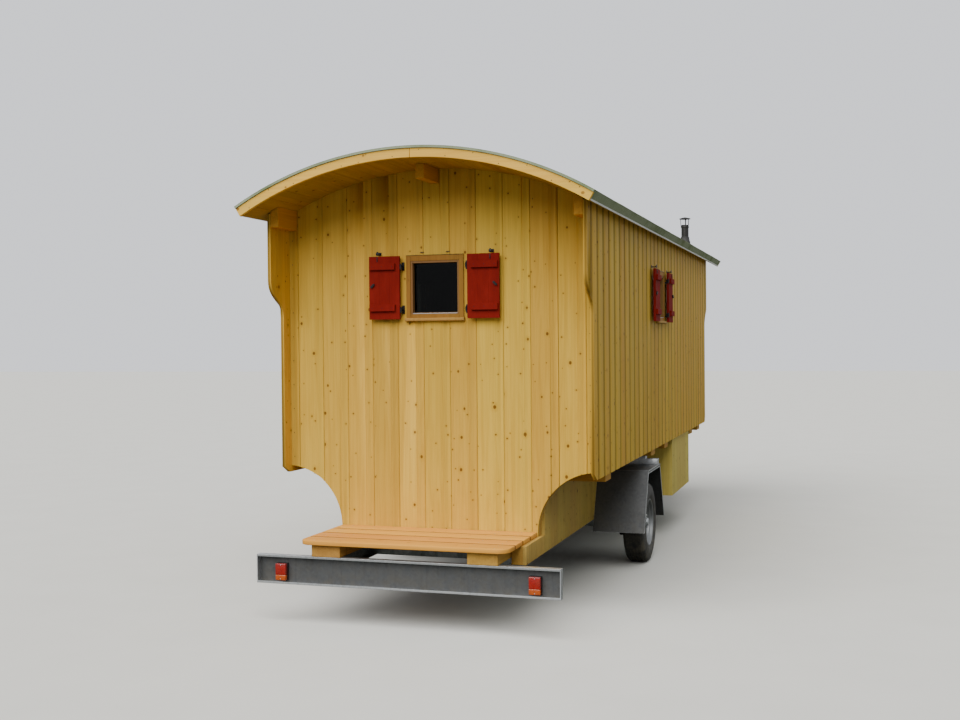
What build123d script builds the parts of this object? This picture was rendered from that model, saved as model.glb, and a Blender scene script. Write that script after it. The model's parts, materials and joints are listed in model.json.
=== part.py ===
import os
from math import acos, asin, atan2, cos, degrees, hypot, radians, sin, sqrt

from build123d import *

os.makedirs("parts", exist_ok=True)

# Shepherd's hut on a single-axle road trailer, in millimetres.
# X runs across the hut, Y from the rear gable to the drawbar, Z up from the ground.

seat = 0.3  # play between a piece and what carries it

# Body: a wide upper room over a narrow lower one between the wheels
body_length = 5650.0  # outer face of the rear gable cladding to that of the front one
body_width = 2242.0  # over the side claddings
lower_width = 1422.0  # over the lower walls, without their cladding
cladding = 24.0
frame_depth = 60.0  # studs, insulation and lining of an upper wall
sill_depth = 75.0  # lower walls
sill_bottom = 400.0
sill_top = 520.0
floor_top = 550.0
floor_thickness = 50.0
shelf_bottom = 956.0  # underside of the floors that overhang the wheels
shelf_thickness = 40.0
cladding_bottom = 912.0
cladding_return = 100.0  # side claddings stand out past the gables
corner_cut = (80.0, 45.0)  # lower corners of the side claddings
wing_reach = 285.0
wing_foot = 1995.0
wing_head = 2265.0

# Roof: a shallow barrel on three purlins
eaves_reach = 96.0  # the roof's edge past the side claddings
roof_rise = 333.0
roof_apex = 3063.0
roof_depth = 60.0
felt_build = 16.0  # battens, boards and felt on the crown
felt_thickness = 5.0  # the flap down the eaves
felt_drop = 42.0
felt_lip = 8.0
rear_overhang = 540.0
front_overhang = 750.0
bargeboard = 28.0
ridge_width = 60.0
ridge_depth = 98.0
plate_depth = 108.0  # at the outside of the wall
drip_sheet = 3.0
drip_lip = 8.0
drip_rise = 6.0  # above the foot of the roof's edge

# Windows and their shutters
window_width = 415.0  # over the trim
window_drop = 645.0  # from the apex of the roof to the top of a window
window_height = 428.0
window_top = roof_apex - window_drop
window_bottom = window_top - window_height
window_lap = 19.5  # the trim's lap on the cladding
window_stile = 45.5
window_rails = (38.0, 52.0)  # bottom and top
trim_depth = 12.0
glass_setback = 30.0
glass_thickness = 6.0
sill_board = (428.0, 30.0, 22.0)  # width, projection, height
side_window_place = 2575.0  # from the rear gable face
leaf_width = 225.0
leaf_drop = 8.0  # below the trim
leaf_height = 434.0
leaf_thickness = 20.0
leaf_gap = 25.0  # behind an open leaf
leaf_meeting = 3.0  # from the window's centre line to a closed leaf
pin_offset = 8.0  # from a leaf's edge to its pin
pin_depth = 41.0  # from the cladding to a pin
pin_radius = 4.0
pin_clearance = 0.05
barrel_radius = 7.5
barrel_height = 24.0
hinge_offsets = (67.0, 364.0)  # from the foot of a leaf to the middle of a strap
ledge_height = 45.0
ledge_thickness = 18.0
ledge_offsets = (56.0, 340.0)  # from the foot of a leaf
ledge_insets = (30.0, 8.0)  # from a leaf's inner and outer edge
strap_thickness = 3.0
strap_length = 29.0
strap_web = 10.0
strap_height = 20.0
pintle_stem = 10.0
pintle_plate = (20.0, 6.0, 57.0)  # width, thickness, height
pintle_shift = 4.0  # from the pin's line to the plate's, towards the window
button_size = (36.0, 14.0)
button_depth = 12.0
button_offset = (28.0, 232.0)  # from a leaf's outer edge and from its foot
catch_offset = 62.0  # from a leaf's outer edge
catch_rise = 8.0  # above a leaf
catch_size = (34.0, 22.0)

# Entrance door in the front gable
door_opening = (800.0, 1900.0)
door_lining = 35.0
door_thickness = 42.0
door_play = 3.0
door_stop = 12.0  # the leaf's lap on the frame's rebate

# Rear deck
deck_width = 1410.0
deck_depth = 700.0
deck_boards_count = 4
deck_gap = 8.0
deck_thickness = 28.0
deck_corner = 80.0
bearer_width = 200.0
bearer_place = 530.0
bearer_inset = 40.0
sill_reach = 380.0  # the sills run out under the deck

# Trailer
axle_shift = 730.0  # behind the middle of the hut
axle_place = body_length / 2 - axle_shift  # from the rear gable face
tyre_radius = 325.0
tyre_width = 185.0
tyre_place = 1022.0
rim_radius = 178.0
stub_radius = 20.0
stub_clearance = 0.05
drum_radius = 115.0
axle_tube = 80.0
arm_throw = 130.0
arm_face = 822.0
arm_sheet = 25.0
stub_length = 215.0
rail_place = 500.0
rail_width = 60.0
rail_height = 100.0
rail_sheet = 5.0
rail_top = 440.0
rail_inset = 100.0  # from the front gable face
member_thickness = 50.0
member_insets = (60.0, 160.0)  # from the rear and the front gable face
nose_bay = 1240.0
bar_spread = 40.0  # between an arm's middle and its rail
bar_tip = 220.0
bar_overrun = 200.0
floor_bearer_count = 7
floor_bearer_width = 70.0
floor_bearer_inset = 200.0
drawbar_reach = 1300.0  # past the front gable face
drawbar_width = 60.0
drawbar_height = 80.0
coupling_height = 390.0
coupling_length = 200.0
coupling_width = 70.0
ball_radius = 25.5
stand_along = 250.0  # from the middle of the drawbar's arm
stand_clamp = 60.0  # from the arm's side to the stand's middle
stand_radius = 26.0
stand_sleeve = 470.0
stand_sleeve_foot = 190.0
stand_foot = 160.0
light_bar_width = 2050.0
light_bar_height = 188.0
light_bar_depth = 50.0
light_bar_place = 610.0
light_bar_sheet = 3.0
light_bar_lip = 14.0
lamp_place = 860.0
lamp_rise = 75.5  # from the light bar's foot
lamp_size = (80.0, 40.0, 115.0)
lamp_corner = 12.0
fender_outer = 1147.0
fender_sheet = 3.0
fender_rim = 25.0
fender_top = 780.0
fender_bottom = 310.0
fender_top_half = 291.0
fender_bottom_half = 505.0
box_outer = 1100.0
box_shift = 555.0  # ahead of the middle of the hut
box_start = body_length / 2 + box_shift
box_length = 1130.0
box_bottom = 380.0
box_panel = 20.0
joist_width = 190.0
joist_depth = 100.0
hanger_shift = 245.0  # ahead of the axle
joist_places = (
    450.0,
    axle_place + hanger_shift,
    box_start - 325,
    box_start + box_length + 210,
    body_length - 350,
)
hanger_insets = (40.0, 9.0)  # from the fender's inner and outer edge
hanger_width = 80.0
hanger_height = 45.0
hanger_post = 160.0

# Flue
flue_insets = (83.0, 166.0)  # from the insides of the side and the front wall
flue_radius = 40.0
flue_sheet = 2.0
flue_rise = 17.0  # above the top of the roof
flue_length = 380.0
cowl_radius = 60.0
cowl_rise = 82.0
cowl_lap = 30.0
cowl_sheet = 4.0

# Places worked out from the sizes above
rear_face = (deck_depth - body_length - drawbar_reach) / 2
front_face = rear_face + body_length
body_middle = (rear_face + front_face) / 2
half_width = body_width / 2
roof_half_width = half_width + eaves_reach
lower_half = lower_width / 2
gable_half = half_width - cladding - seat
core_inner = gable_half - frame_depth
wall_depth = cladding + seat + frame_depth
rear_inside = rear_face + wall_depth
front_inside = front_face - wall_depth
arch_radius = half_width - lower_half
arch_spring = shelf_bottom - arch_radius
roof_radius = (roof_half_width**2 + roof_rise**2) / (2 * roof_rise)
roof_centre = roof_apex - roof_radius
roof_angle = asin(roof_half_width / roof_radius)
soffit_radius = roof_radius - roof_depth
rear_eave = rear_face - rear_overhang
front_eave = front_face + front_overhang
axle_y = rear_face + axle_place
lower_outer = lower_half + seat + cladding
deck_bottom = floor_top - deck_thickness
side_window_y = rear_face + side_window_place
window_opening = window_width - 2 * window_lap
opening_height = window_top - window_bottom - 2 * window_lap
glass_width = window_width - 2 * window_stile
glass_bottom = window_bottom + window_rails[0]
glass_top = window_top - window_rails[1]
leaf_bottom = window_bottom - leaf_drop
flue_x = core_inner - flue_insets[0]
flue_y = front_inside - flue_insets[1]
flue_top = roof_apex + flue_rise
flue_foot = flue_top - flue_length
pin_side = leaf_meeting + leaf_width + pin_offset
leaf_inner = pin_side + pin_offset


def soffit_height(x):
    return roof_centre + sqrt((soffit_radius - seat) ** 2 - x**2)


ridge_bottom = soffit_height(0) - ridge_depth
plate_bottom = soffit_height(gable_half) - plate_depth


def polar(radius, angle):
    return (radius * sin(angle), roof_centre + radius * cos(angle))


def draw_band(inner, outer, angle):
    with BuildSketch() as band:
        with BuildLine():
            ThreePointArc(polar(outer, -angle), polar(outer, 0), polar(outer, angle))
            Line(polar(outer, angle), polar(inner, angle))
            ThreePointArc(polar(inner, angle), polar(inner, 0), polar(inner, -angle))
            Line(polar(inner, -angle), polar(outer, -angle))
        make_face()
    return band.sketch


# Outline of both gables, wide above the overhang and narrow below it
notch = core_inner - seat
arch_turn = 180 - degrees(acos((gable_half - half_width) / arch_radius))
with BuildSketch() as gable_outline:
    with BuildLine():
        Polyline((0, sill_top + seat), (lower_half, sill_top + seat), (lower_half, arch_spring))
        arch = CenterArc((half_width, arch_spring), arch_radius, 180, -arch_turn)
        Polyline(
            arch @ 1,
            (gable_half, plate_bottom - seat),
            (notch, plate_bottom - seat),
            (notch, soffit_height(notch)),
        )
        ThreePointArc(
            (notch, soffit_height(notch)),
            (notch / 2, soffit_height(notch / 2)),
            (0, soffit_height(0)),
        )
        mirror(about=Plane.YZ)
    make_face()
    with Locations((0, ridge_bottom - seat)):
        Rectangle(
            ridge_width + 2 * seat,
            roof_depth * 3,
            align=(Align.CENTER, Align.MIN),
            mode=Mode.SUBTRACT,
        )


def draw_window_hole():
    with Locations((0, (window_bottom + window_top) / 2)):
        Rectangle(window_opening, opening_height, mode=Mode.SUBTRACT)


def draw_door_hole():
    with Locations((0, floor_top)):
        Rectangle(*door_opening, align=(Align.CENTER, Align.MIN), mode=Mode.SUBTRACT)


# Outline of a side cladding seen square on, from the middle of the hut's length
cladding_end = body_length / 2 + cladding_return
wing_tip = body_length / 2 + wing_reach
with BuildSketch() as side_outline:
    with BuildLine():
        Polyline(
            (0, cladding_bottom),
            (cladding_end - corner_cut[0], cladding_bottom),
            (cladding_end, cladding_bottom + corner_cut[1]),
            (cladding_end, wing_foot),
        )
        Spline((cladding_end, wing_foot), (wing_tip, wing_head), tangents=[(0, 1), (0, 1)])
        Polyline(
            (wing_tip, wing_head),
            (wing_tip, soffit_height(half_width)),
            (0, soffit_height(half_width)),
        )
        mirror(about=Plane.YZ)
    make_face()

# Outline of a lower wall seen square on
with BuildSketch() as lower_outline:
    with BuildLine():
        Polyline(
            (rear_face - sill_reach, sill_bottom),
            (front_face, sill_bottom),
            (front_face, sill_top),
            (front_inside - seat, sill_top),
            (front_inside - seat, shelf_bottom - seat),
            (rear_inside + seat, shelf_bottom - seat),
            (rear_inside + seat, sill_top),
            (rear_face - sill_reach, sill_top),
            close=True,
        )
    make_face()

# Gables
with BuildPart() as rear_cladding:
    with BuildSketch(Plane.XZ.offset(-rear_face)):
        add(gable_outline.sketch)
        draw_window_hole()
    extrude(amount=-cladding)
rear_cladding.part.label = "rear_cladding"
export_step(rear_cladding.part, "parts/rear_cladding.step")

with BuildPart() as rear_wall:
    with BuildSketch(Plane.XZ.offset(-(rear_face + cladding + seat))):
        add(gable_outline.sketch)
        draw_window_hole()
    extrude(amount=-frame_depth)
rear_wall.part.label = "rear_wall"
export_step(rear_wall.part, "parts/rear_wall.step")

with BuildPart() as front_cladding:
    with BuildSketch(Plane.XZ.offset(-front_face)):
        add(gable_outline.sketch)
        draw_door_hole()
    extrude(amount=cladding)
front_cladding.part.label = "front_cladding"
export_step(front_cladding.part, "parts/front_cladding.step")

with BuildPart() as front_wall:
    with BuildSketch(Plane.XZ.offset(-(front_face - cladding - seat))):
        add(gable_outline.sketch)
        draw_door_hole()
    extrude(amount=frame_depth)
front_wall.part.label = "front_wall"
export_step(front_wall.part, "parts/front_wall.step")

# Side walls
core_length = front_inside - rear_inside - 2 * seat
core_foot = shelf_bottom + shelf_thickness + seat
core_height = plate_bottom - seat - core_foot
window_height_middle = (window_bottom + window_top) / 2

with BuildPart() as right_wall:
    with BuildSketch(Plane.YZ.offset(core_inner)):
        with Locations((body_middle, core_foot)):
            Rectangle(core_length, core_height, align=(Align.CENTER, Align.MIN))
        with Locations((side_window_y, window_height_middle)):
            Rectangle(window_opening, opening_height, mode=Mode.SUBTRACT)
    extrude(amount=frame_depth)
right_wall.part.label = "right_wall"
export_step(right_wall.part, "parts/right_wall.step")

with BuildPart() as left_wall:
    add(right_wall.part.mirror(Plane.YZ))
left_wall.part.label = "left_wall"
export_step(left_wall.part, "parts/left_wall.step")

with BuildPart() as right_cladding:
    side_middle = Plane(origin=(half_width - cladding, body_middle, 0), x_dir=(0, 1, 0), z_dir=(1, 0, 0))
    with BuildSketch(side_middle):
        add(side_outline.sketch)
        with Locations((side_window_y - body_middle, window_height_middle)):
            Rectangle(window_opening, opening_height, mode=Mode.SUBTRACT)
    extrude(amount=cladding)
right_cladding.part.label = "right_cladding"
export_step(right_cladding.part, "parts/right_cladding.step")

with BuildPart() as left_cladding:
    add(right_cladding.part.mirror(Plane.YZ))
left_cladding.part.label = "left_cladding"
export_step(left_cladding.part, "parts/left_cladding.step")

# Lower body and floors
with BuildPart() as lower_walls:
    with BuildSketch(Plane.YZ.offset(lower_half - sill_depth)):
        add(lower_outline.sketch)
    extrude(amount=sill_depth)
    mirror(about=Plane.YZ)
lower_walls.part.label = "lower_walls"
export_step(lower_walls.part, "parts/lower_walls.step")

with BuildPart() as lower_cladding:
    with BuildSketch(Plane.YZ.offset(lower_half + seat)):
        add(lower_outline.sketch)
    extrude(amount=cladding)
    mirror(about=Plane.YZ)
lower_cladding.part.label = "lower_cladding"
export_step(lower_cladding.part, "parts/lower_cladding.step")

with BuildPart() as floor:
    with Locations((0, body_middle, floor_top)):
        Box(
            2 * (lower_half - sill_depth - seat),
            core_length,
            floor_thickness,
            align=(Align.CENTER, Align.CENTER, Align.MAX),
        )
floor.part.label = "floor"
export_step(floor.part, "parts/floor.step")

shelf_inner = lower_half - sill_depth
with BuildPart() as overhang_floors:
    with Locations((shelf_inner, body_middle, shelf_bottom)):
        Box(
            gable_half - shelf_inner,
            core_length,
            shelf_thickness,
            align=(Align.MIN, Align.CENTER, Align.MIN),
        )
    mirror(about=Plane.YZ)
overhang_floors.part.label = "overhang_floors"
export_step(overhang_floors.part, "parts/overhang_floors.step")

joist_inner = lower_outer + seat
with BuildPart() as overhang_joists:
    with Locations(*[(joist_inner, rear_face + place, shelf_bottom - seat) for place in joist_places]):
        Box(
            gable_half - joist_inner,
            joist_width,
            joist_depth,
            align=(Align.MIN, Align.CENTER, Align.MAX),
        )
    mirror(about=Plane.YZ)
overhang_joists.part.label = "overhang_joists"
export_step(overhang_joists.part, "parts/overhang_joists.step")

# Roof
with BuildPart() as purlins:
    with BuildSketch(Plane.XZ.offset(-(rear_face - wing_reach))):
        with Locations((0, ridge_bottom)):
            Rectangle(ridge_width, roof_depth * 3, align=(Align.CENTER, Align.MIN))
        with Locations((core_inner, plate_bottom)):
            Rectangle(frame_depth, roof_depth * 3, align=(Align.MIN, Align.MIN))
        with Locations((-core_inner, plate_bottom)):
            Rectangle(frame_depth, roof_depth * 3, align=(Align.MAX, Align.MIN))
        with Locations((0, roof_centre)):
            Circle(soffit_radius - seat, mode=Mode.INTERSECT)
    extrude(amount=-(body_length + 2 * wing_reach))
purlins.part.label = "purlins"
export_step(purlins.part, "parts/purlins.step")

shell_start = rear_eave + bargeboard + seat
shell_length = front_eave - rear_eave - 2 * bargeboard - 2 * seat
with BuildPart() as roof_shell:
    with BuildSketch(Plane.XZ.offset(-shell_start)):
        add(draw_band(soffit_radius, roof_radius, roof_angle))
    extrude(amount=-shell_length)
    with Locations((flue_x, flue_y, roof_apex)):
        Cylinder(flue_radius + seat, 2 * flue_length, mode=Mode.SUBTRACT)
roof_shell.part.label = "roof_shell"
export_step(roof_shell.part, "parts/roof_shell.step")

# The boards close the ends of the roof, the felt's flaps and the drips
felt_outer = roof_radius + seat + felt_build
felt_angle = roof_angle + (seat + felt_thickness) / roof_radius
with BuildPart() as bargeboards:
    with BuildSketch(Plane.XZ.offset(-rear_eave)):
        add(draw_band(soffit_radius, roof_radius, felt_angle))
    extrude(amount=-bargeboard)
    with BuildSketch(Plane.XZ.offset(-front_eave)):
        add(draw_band(soffit_radius, roof_radius, felt_angle))
    extrude(amount=bargeboard)
bargeboards.part.label = "bargeboards"
export_step(bargeboards.part, "parts/bargeboards.step")

with BuildPart() as roof_felt:
    with BuildSketch(Plane.XZ.offset(-shell_start)):
        add(draw_band(roof_radius - felt_drop, felt_outer, felt_angle))
    extrude(amount=-shell_length)
    with BuildSketch(Plane.XZ.offset(-(rear_eave - felt_lip))):
        add(draw_band(soffit_radius - roof_depth, roof_radius + seat, roof_angle + seat / roof_radius))
    extrude(amount=-(front_eave - rear_eave + 2 * felt_lip), mode=Mode.SUBTRACT)
    with BuildSketch(Plane.XZ.offset(-(rear_eave - felt_lip))):
        add(draw_band(roof_radius + seat, felt_outer, felt_angle))
    extrude(amount=-(front_eave - rear_eave + 2 * felt_lip))
    with Locations((flue_x, flue_y, roof_apex)):
        Cylinder(flue_radius + seat, 2 * flue_length, mode=Mode.SUBTRACT)
roof_felt.part.label = "roof_felt"
export_step(roof_felt.part, "parts/roof_felt.step")

drip_top = roof_radius - felt_drop - seat
drip_foot = soffit_radius + drip_rise
drip_face = roof_angle + seat / roof_radius
drip_back = roof_angle + (seat + drip_sheet) / roof_radius
drip_edge = roof_angle + (seat + drip_lip) / roof_radius
with BuildPart() as eaves_trim:
    with BuildSketch(Plane.XZ.offset(-shell_start)):
        with BuildLine():
            Polyline(
                polar(drip_top, drip_face),
                polar(drip_foot, drip_face),
                polar(drip_foot, drip_edge),
                polar(drip_foot + drip_sheet, drip_edge),
                polar(drip_foot + drip_sheet, drip_back),
                polar(drip_top, drip_back),
                close=True,
            )
        make_face()
    extrude(amount=-shell_length)
    mirror(about=Plane.YZ)
eaves_trim.part.label = "eaves_trim"
export_step(eaves_trim.part, "parts/eaves_trim.step")

# Flue
with BuildPart() as flue_pipe:
    with Locations((flue_x, flue_y, flue_foot)):
        Cylinder(flue_radius, flue_length, align=(Align.CENTER, Align.CENTER, Align.MIN))
        Cylinder(
            flue_radius - flue_sheet,
            flue_length,
            align=(Align.CENTER, Align.CENTER, Align.MIN),
            mode=Mode.SUBTRACT,
        )
flue_pipe.part.label = "flue_pipe"
export_step(flue_pipe.part, "parts/flue_pipe.step")

with BuildPart() as flue_cowl:
    with Locations((flue_x, flue_y, flue_top + cowl_rise)):
        Cylinder(cowl_radius, cowl_sheet, align=(Align.CENTER, Align.CENTER, Align.MIN))
    with Locations((flue_x, flue_y, flue_top - cowl_lap)):
        with PolarLocations(flue_radius + seat + 3, 3, start_angle=90):
            Box(6, 14, cowl_lap + cowl_rise + 1, align=(Align.CENTER, Align.CENTER, Align.MIN))
        Cylinder(flue_radius + seat + cowl_sheet, 14, align=(Align.CENTER, Align.CENTER, Align.MIN))
        Cylinder(
            flue_radius + seat,
            cowl_lap + cowl_rise,
            align=(Align.CENTER, Align.CENTER, Align.MIN),
            mode=Mode.SUBTRACT,
        )
flue_cowl.part.label = "flue_cowl"
export_step(flue_cowl.part, "parts/flue_cowl.step")

# Windows
lining_half = window_opening / 2 - seat
lining_height = opening_height - 2 * seat
window_middle = (window_bottom + window_top) / 2
glass_height = glass_top - glass_bottom
glass_middle = (glass_bottom + glass_top) / 2
rear_plane = Plane.XZ.offset(-rear_face)

# Moves what is drawn on the rear gable to the same place at the right wall's window
to_right = Pos(half_width, side_window_y, 0) * Rot(0, 0, 90) * Pos(0, -rear_face, 0)

with BuildPart() as rear_window_frame:
    with BuildSketch(rear_plane.offset(seat)):
        with Locations((0, window_middle)):
            Rectangle(window_width, window_top - window_bottom)
    extrude(amount=trim_depth)
    with BuildSketch(rear_plane.offset(seat)):
        with Locations((0, window_bottom)):
            Rectangle(sill_board[0], sill_board[2], align=(Align.CENTER, Align.MAX))
    extrude(amount=sill_board[1])
    with BuildSketch(rear_plane.offset(seat)):
        with Locations((0, window_middle)):
            Rectangle(2 * lining_half, lining_height)
    extrude(amount=-wall_depth)
    with BuildSketch(rear_plane.offset(2 * sill_board[1])):
        with Locations((0, glass_middle)):
            Rectangle(glass_width, glass_height)
    extrude(amount=-3 * wall_depth, mode=Mode.SUBTRACT)
rear_window_frame.part.label = "rear_window_frame"
export_step(rear_window_frame.part, "parts/rear_window_frame.step")

with BuildPart() as side_window_frames:
    add(to_right * rear_window_frame.part)
    mirror(about=Plane.YZ)
side_window_frames.part.label = "side_window_frames"
export_step(side_window_frames.part, "parts/side_window_frames.step")

with BuildPart() as rear_window_glass:
    with BuildSketch(rear_plane.offset(-glass_setback)):
        with Locations((0, glass_middle)):
            Rectangle(glass_width - 2 * seat, glass_height - 2 * seat)
    extrude(amount=-glass_thickness)

with BuildPart() as window_glass:
    add(to_right * rear_window_glass.part)
    mirror(about=Plane.YZ)
    add(rear_window_glass.part)
window_glass.part.label = "window_glass"
export_step(window_glass.part, "parts/window_glass.step")

# Shutters, all open; the others are copies of the rear window's right one
leaf_middle = leaf_inner + leaf_width / 2
leaf_outer = leaf_inner + leaf_width
leaf_face = leaf_gap + leaf_thickness
ledge_levels = [leaf_bottom + rise + ledge_height / 2 for rise in ledge_offsets]
hinge_levels = [leaf_bottom + rise for rise in hinge_offsets]

with BuildPart() as rear_right_shutter:
    with BuildSketch(rear_plane.offset(leaf_gap)):
        with Locations((leaf_middle, leaf_bottom)):
            Rectangle(leaf_width, leaf_height, align=(Align.CENTER, Align.MIN))
    extrude(amount=leaf_thickness)
    with BuildSketch(rear_plane.offset(leaf_face)):
        with Locations(*[(leaf_outer - ledge_insets[1], level) for level in ledge_levels]):
            Rectangle(
                leaf_width - ledge_insets[0] - ledge_insets[1],
                ledge_height,
                align=(Align.MAX, Align.CENTER),
            )
    extrude(amount=ledge_thickness)
    with BuildSketch(rear_plane.offset(leaf_face)):
        with Locations((leaf_outer - button_offset[0], leaf_bottom + button_offset[1])):
            SlotOverall(*button_size, rotation=45)
    extrude(amount=button_depth)
rear_right_shutter.part.label = "rear_right_shutter"
export_step(rear_right_shutter.part, "parts/rear_right_shutter.step")

# A strap lies on the side of the leaf that faces the wall, and a web carries it out to the barrel
with BuildPart() as rear_right_straps:
    with BuildSketch(rear_plane.offset(leaf_gap - seat - strap_thickness)):
        with Locations(*[(leaf_inner + strap_length, level) for level in hinge_levels]):
            Rectangle(
                strap_length + pin_offset + strap_web / 2,
                strap_height,
                align=(Align.MAX, Align.CENTER),
            )
    extrude(amount=strap_thickness)
    with BuildSketch(rear_plane.offset(leaf_gap - seat - strap_thickness)):
        with Locations(*[(pin_side, level) for level in hinge_levels]):
            Rectangle(strap_web, strap_height)
    extrude(amount=pin_depth - leaf_gap + seat + strap_thickness)
    with Locations(*[(pin_side, rear_face - pin_depth, level) for level in hinge_levels]):
        Cylinder(barrel_radius, barrel_height)
        Cylinder(pin_radius + pin_clearance, 2 * barrel_height, mode=Mode.SUBTRACT)
rear_right_straps.part.label = "rear_right_straps"
export_step(rear_right_straps.part, "parts/rear_right_straps.step")

with BuildPart() as rear_left_shutter:
    add(rear_right_shutter.part.mirror(Plane.YZ))
rear_left_shutter.part.label = "rear_left_shutter"
export_step(rear_left_shutter.part, "parts/rear_left_shutter.step")

with BuildPart() as rear_left_straps:
    add(rear_right_straps.part.mirror(Plane.YZ))
rear_left_straps.part.label = "rear_left_straps"
export_step(rear_left_straps.part, "parts/rear_left_straps.step")

with BuildPart() as right_front_shutter:
    add(to_right * rear_right_shutter.part)
right_front_shutter.part.label = "right_front_shutter"
export_step(right_front_shutter.part, "parts/right_front_shutter.step")

with BuildPart() as right_front_straps:
    add(to_right * rear_right_straps.part)
right_front_straps.part.label = "right_front_straps"
export_step(right_front_straps.part, "parts/right_front_straps.step")

with BuildPart() as right_back_shutter:
    add(to_right * rear_left_shutter.part)
right_back_shutter.part.label = "right_back_shutter"
export_step(right_back_shutter.part, "parts/right_back_shutter.step")

with BuildPart() as right_back_straps:
    add(to_right * rear_left_straps.part)
right_back_straps.part.label = "right_back_straps"
export_step(right_back_straps.part, "parts/right_back_straps.step")

with BuildPart() as left_shutters:
    add(right_front_shutter.part.mirror(Plane.YZ))
    add(right_back_shutter.part.mirror(Plane.YZ))
left_shutters.part.label = "left_shutters"
export_step(left_shutters.part, "parts/left_shutters.step")

with BuildPart() as left_straps:
    add(right_front_straps.part.mirror(Plane.YZ))
    add(right_back_straps.part.mirror(Plane.YZ))
left_straps.part.label = "left_straps"
export_step(left_straps.part, "parts/left_straps.step")

# Pintles carry the leaves on upright pins from plates on the wall
stem_tops = [level - barrel_height / 2 - seat for level in hinge_levels]
with BuildPart() as rear_pintles:
    with BuildSketch(rear_plane.offset(seat)):
        with Locations(*[(pin_side, top) for top in stem_tops]):
            Rectangle(pintle_stem, pintle_stem, align=(Align.CENTER, Align.MAX))
    extrude(amount=pin_depth + pintle_stem / 2)
    with BuildSketch(rear_plane.offset(seat)):
        with Locations(*[(pin_side - pintle_shift, level) for level in hinge_levels]):
            Rectangle(pintle_plate[0], pintle_plate[2])
    extrude(amount=pintle_plate[1])
    with Locations(*[(pin_side, rear_face - pin_depth, top - pintle_stem / 2) for top in stem_tops]):
        Cylinder(
            pin_radius,
            barrel_height + pintle_stem,
            align=(Align.CENTER, Align.CENTER, Align.MIN),
        )
    mirror(about=Plane.YZ)

with BuildPart() as shutter_pintles:
    add(to_right * rear_pintles.part)
    mirror(about=Plane.YZ)
    add(rear_pintles.part)
shutter_pintles.part.label = "shutter_pintles"
export_step(shutter_pintles.part, "parts/shutter_pintles.step")

with BuildPart() as rear_catches:
    with BuildSketch(rear_plane.offset(seat)):
        with Locations((leaf_outer - catch_offset, leaf_bottom + leaf_height + catch_rise)):
            Rectangle(catch_size[0], catch_size[1], align=(Align.CENTER, Align.MIN))
    extrude(amount=leaf_gap + leaf_thickness)
    mirror(about=Plane.YZ)

with BuildPart() as shutter_catches:
    add(to_right * rear_catches.part)
    mirror(about=Plane.YZ)
    add(rear_catches.part)
shutter_catches.part.label = "shutter_catches"
export_step(shutter_catches.part, "parts/shutter_catches.step")

# Entrance door
frame_outer = (door_opening[0] - 2 * seat, door_opening[1] - 2 * seat)
leaf_size = (
    frame_outer[0] - 2 * door_lining - 2 * door_play,
    frame_outer[1] - 2 * door_lining - 2 * door_play,
)
stop_depth = front_face - door_thickness - 2 * seat - front_inside
with BuildPart() as door_frame:
    with BuildSketch(Plane.XZ.offset(-(front_inside + seat))):
        with Locations((0, floor_top + seat)):
            Rectangle(*frame_outer, align=(Align.CENTER, Align.MIN))
        with Locations((0, floor_top + seat + door_lining)):
            Rectangle(
                frame_outer[0] - 2 * door_lining,
                frame_outer[1] - 2 * door_lining,
                align=(Align.CENTER, Align.MIN),
                mode=Mode.SUBTRACT,
            )
    extrude(amount=-(wall_depth + 6))
    with BuildSketch(Plane.XZ.offset(-(front_inside + seat))):
        with Locations((0, floor_top + seat)):
            Rectangle(*frame_outer, align=(Align.CENTER, Align.MIN))
        with Locations((0, floor_top + seat + door_lining + door_play + door_stop)):
            Rectangle(
                leaf_size[0] - 2 * door_stop,
                leaf_size[1] - 2 * door_stop,
                align=(Align.CENTER, Align.MIN),
                mode=Mode.SUBTRACT,
            )
    extrude(amount=-stop_depth)
door_frame.part.label = "door_frame"
export_step(door_frame.part, "parts/door_frame.step")

with BuildPart() as entrance_door:
    with BuildSketch(Plane.XZ.offset(-(front_face - door_thickness))):
        with Locations((0, floor_top + seat + door_lining + door_play)):
            Rectangle(*leaf_size, align=(Align.CENTER, Align.MIN))
    extrude(amount=-door_thickness)
entrance_door.part.label = "entrance_door"
export_step(entrance_door.part, "parts/entrance_door.step")

# Rear deck
board_depth = (deck_depth - (deck_boards_count - 1) * deck_gap) / deck_boards_count
with BuildPart() as deck_boards:
    with BuildSketch(Plane.XY.offset(deck_bottom)):
        with Locations((0, rear_face)):
            outline = Rectangle(deck_width, deck_depth, align=(Align.CENTER, Align.MAX))
        fillet(outline.vertices().group_by(Axis.Y)[0], radius=deck_corner)
        for row in range(1, deck_boards_count):
            with Locations((0, rear_face - row * (board_depth + deck_gap) + deck_gap)):
                Rectangle(
                    deck_width + 10,
                    deck_gap,
                    align=(Align.CENTER, Align.MAX),
                    mode=Mode.SUBTRACT,
                )
        with Locations((0, rear_face)):
            Rectangle(deck_width + 10, seat, align=(Align.CENTER, Align.MAX), mode=Mode.SUBTRACT)
    extrude(amount=deck_thickness)
deck_boards.part.label = "deck_boards"
export_step(deck_boards.part, "parts/deck_boards.step")

with BuildPart() as deck_bearers:
    for side in (-1, 1):
        with Locations((side * bearer_place, rear_face - seat, rail_top + seat)):
            Box(
                bearer_width,
                deck_depth - bearer_inset,
                deck_bottom - rail_top - 2 * seat,
                align=(Align.CENTER, Align.MAX, Align.MIN),
            )
deck_bearers.part.label = "deck_bearers"
export_step(deck_bearers.part, "parts/deck_bearers.step")

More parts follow.
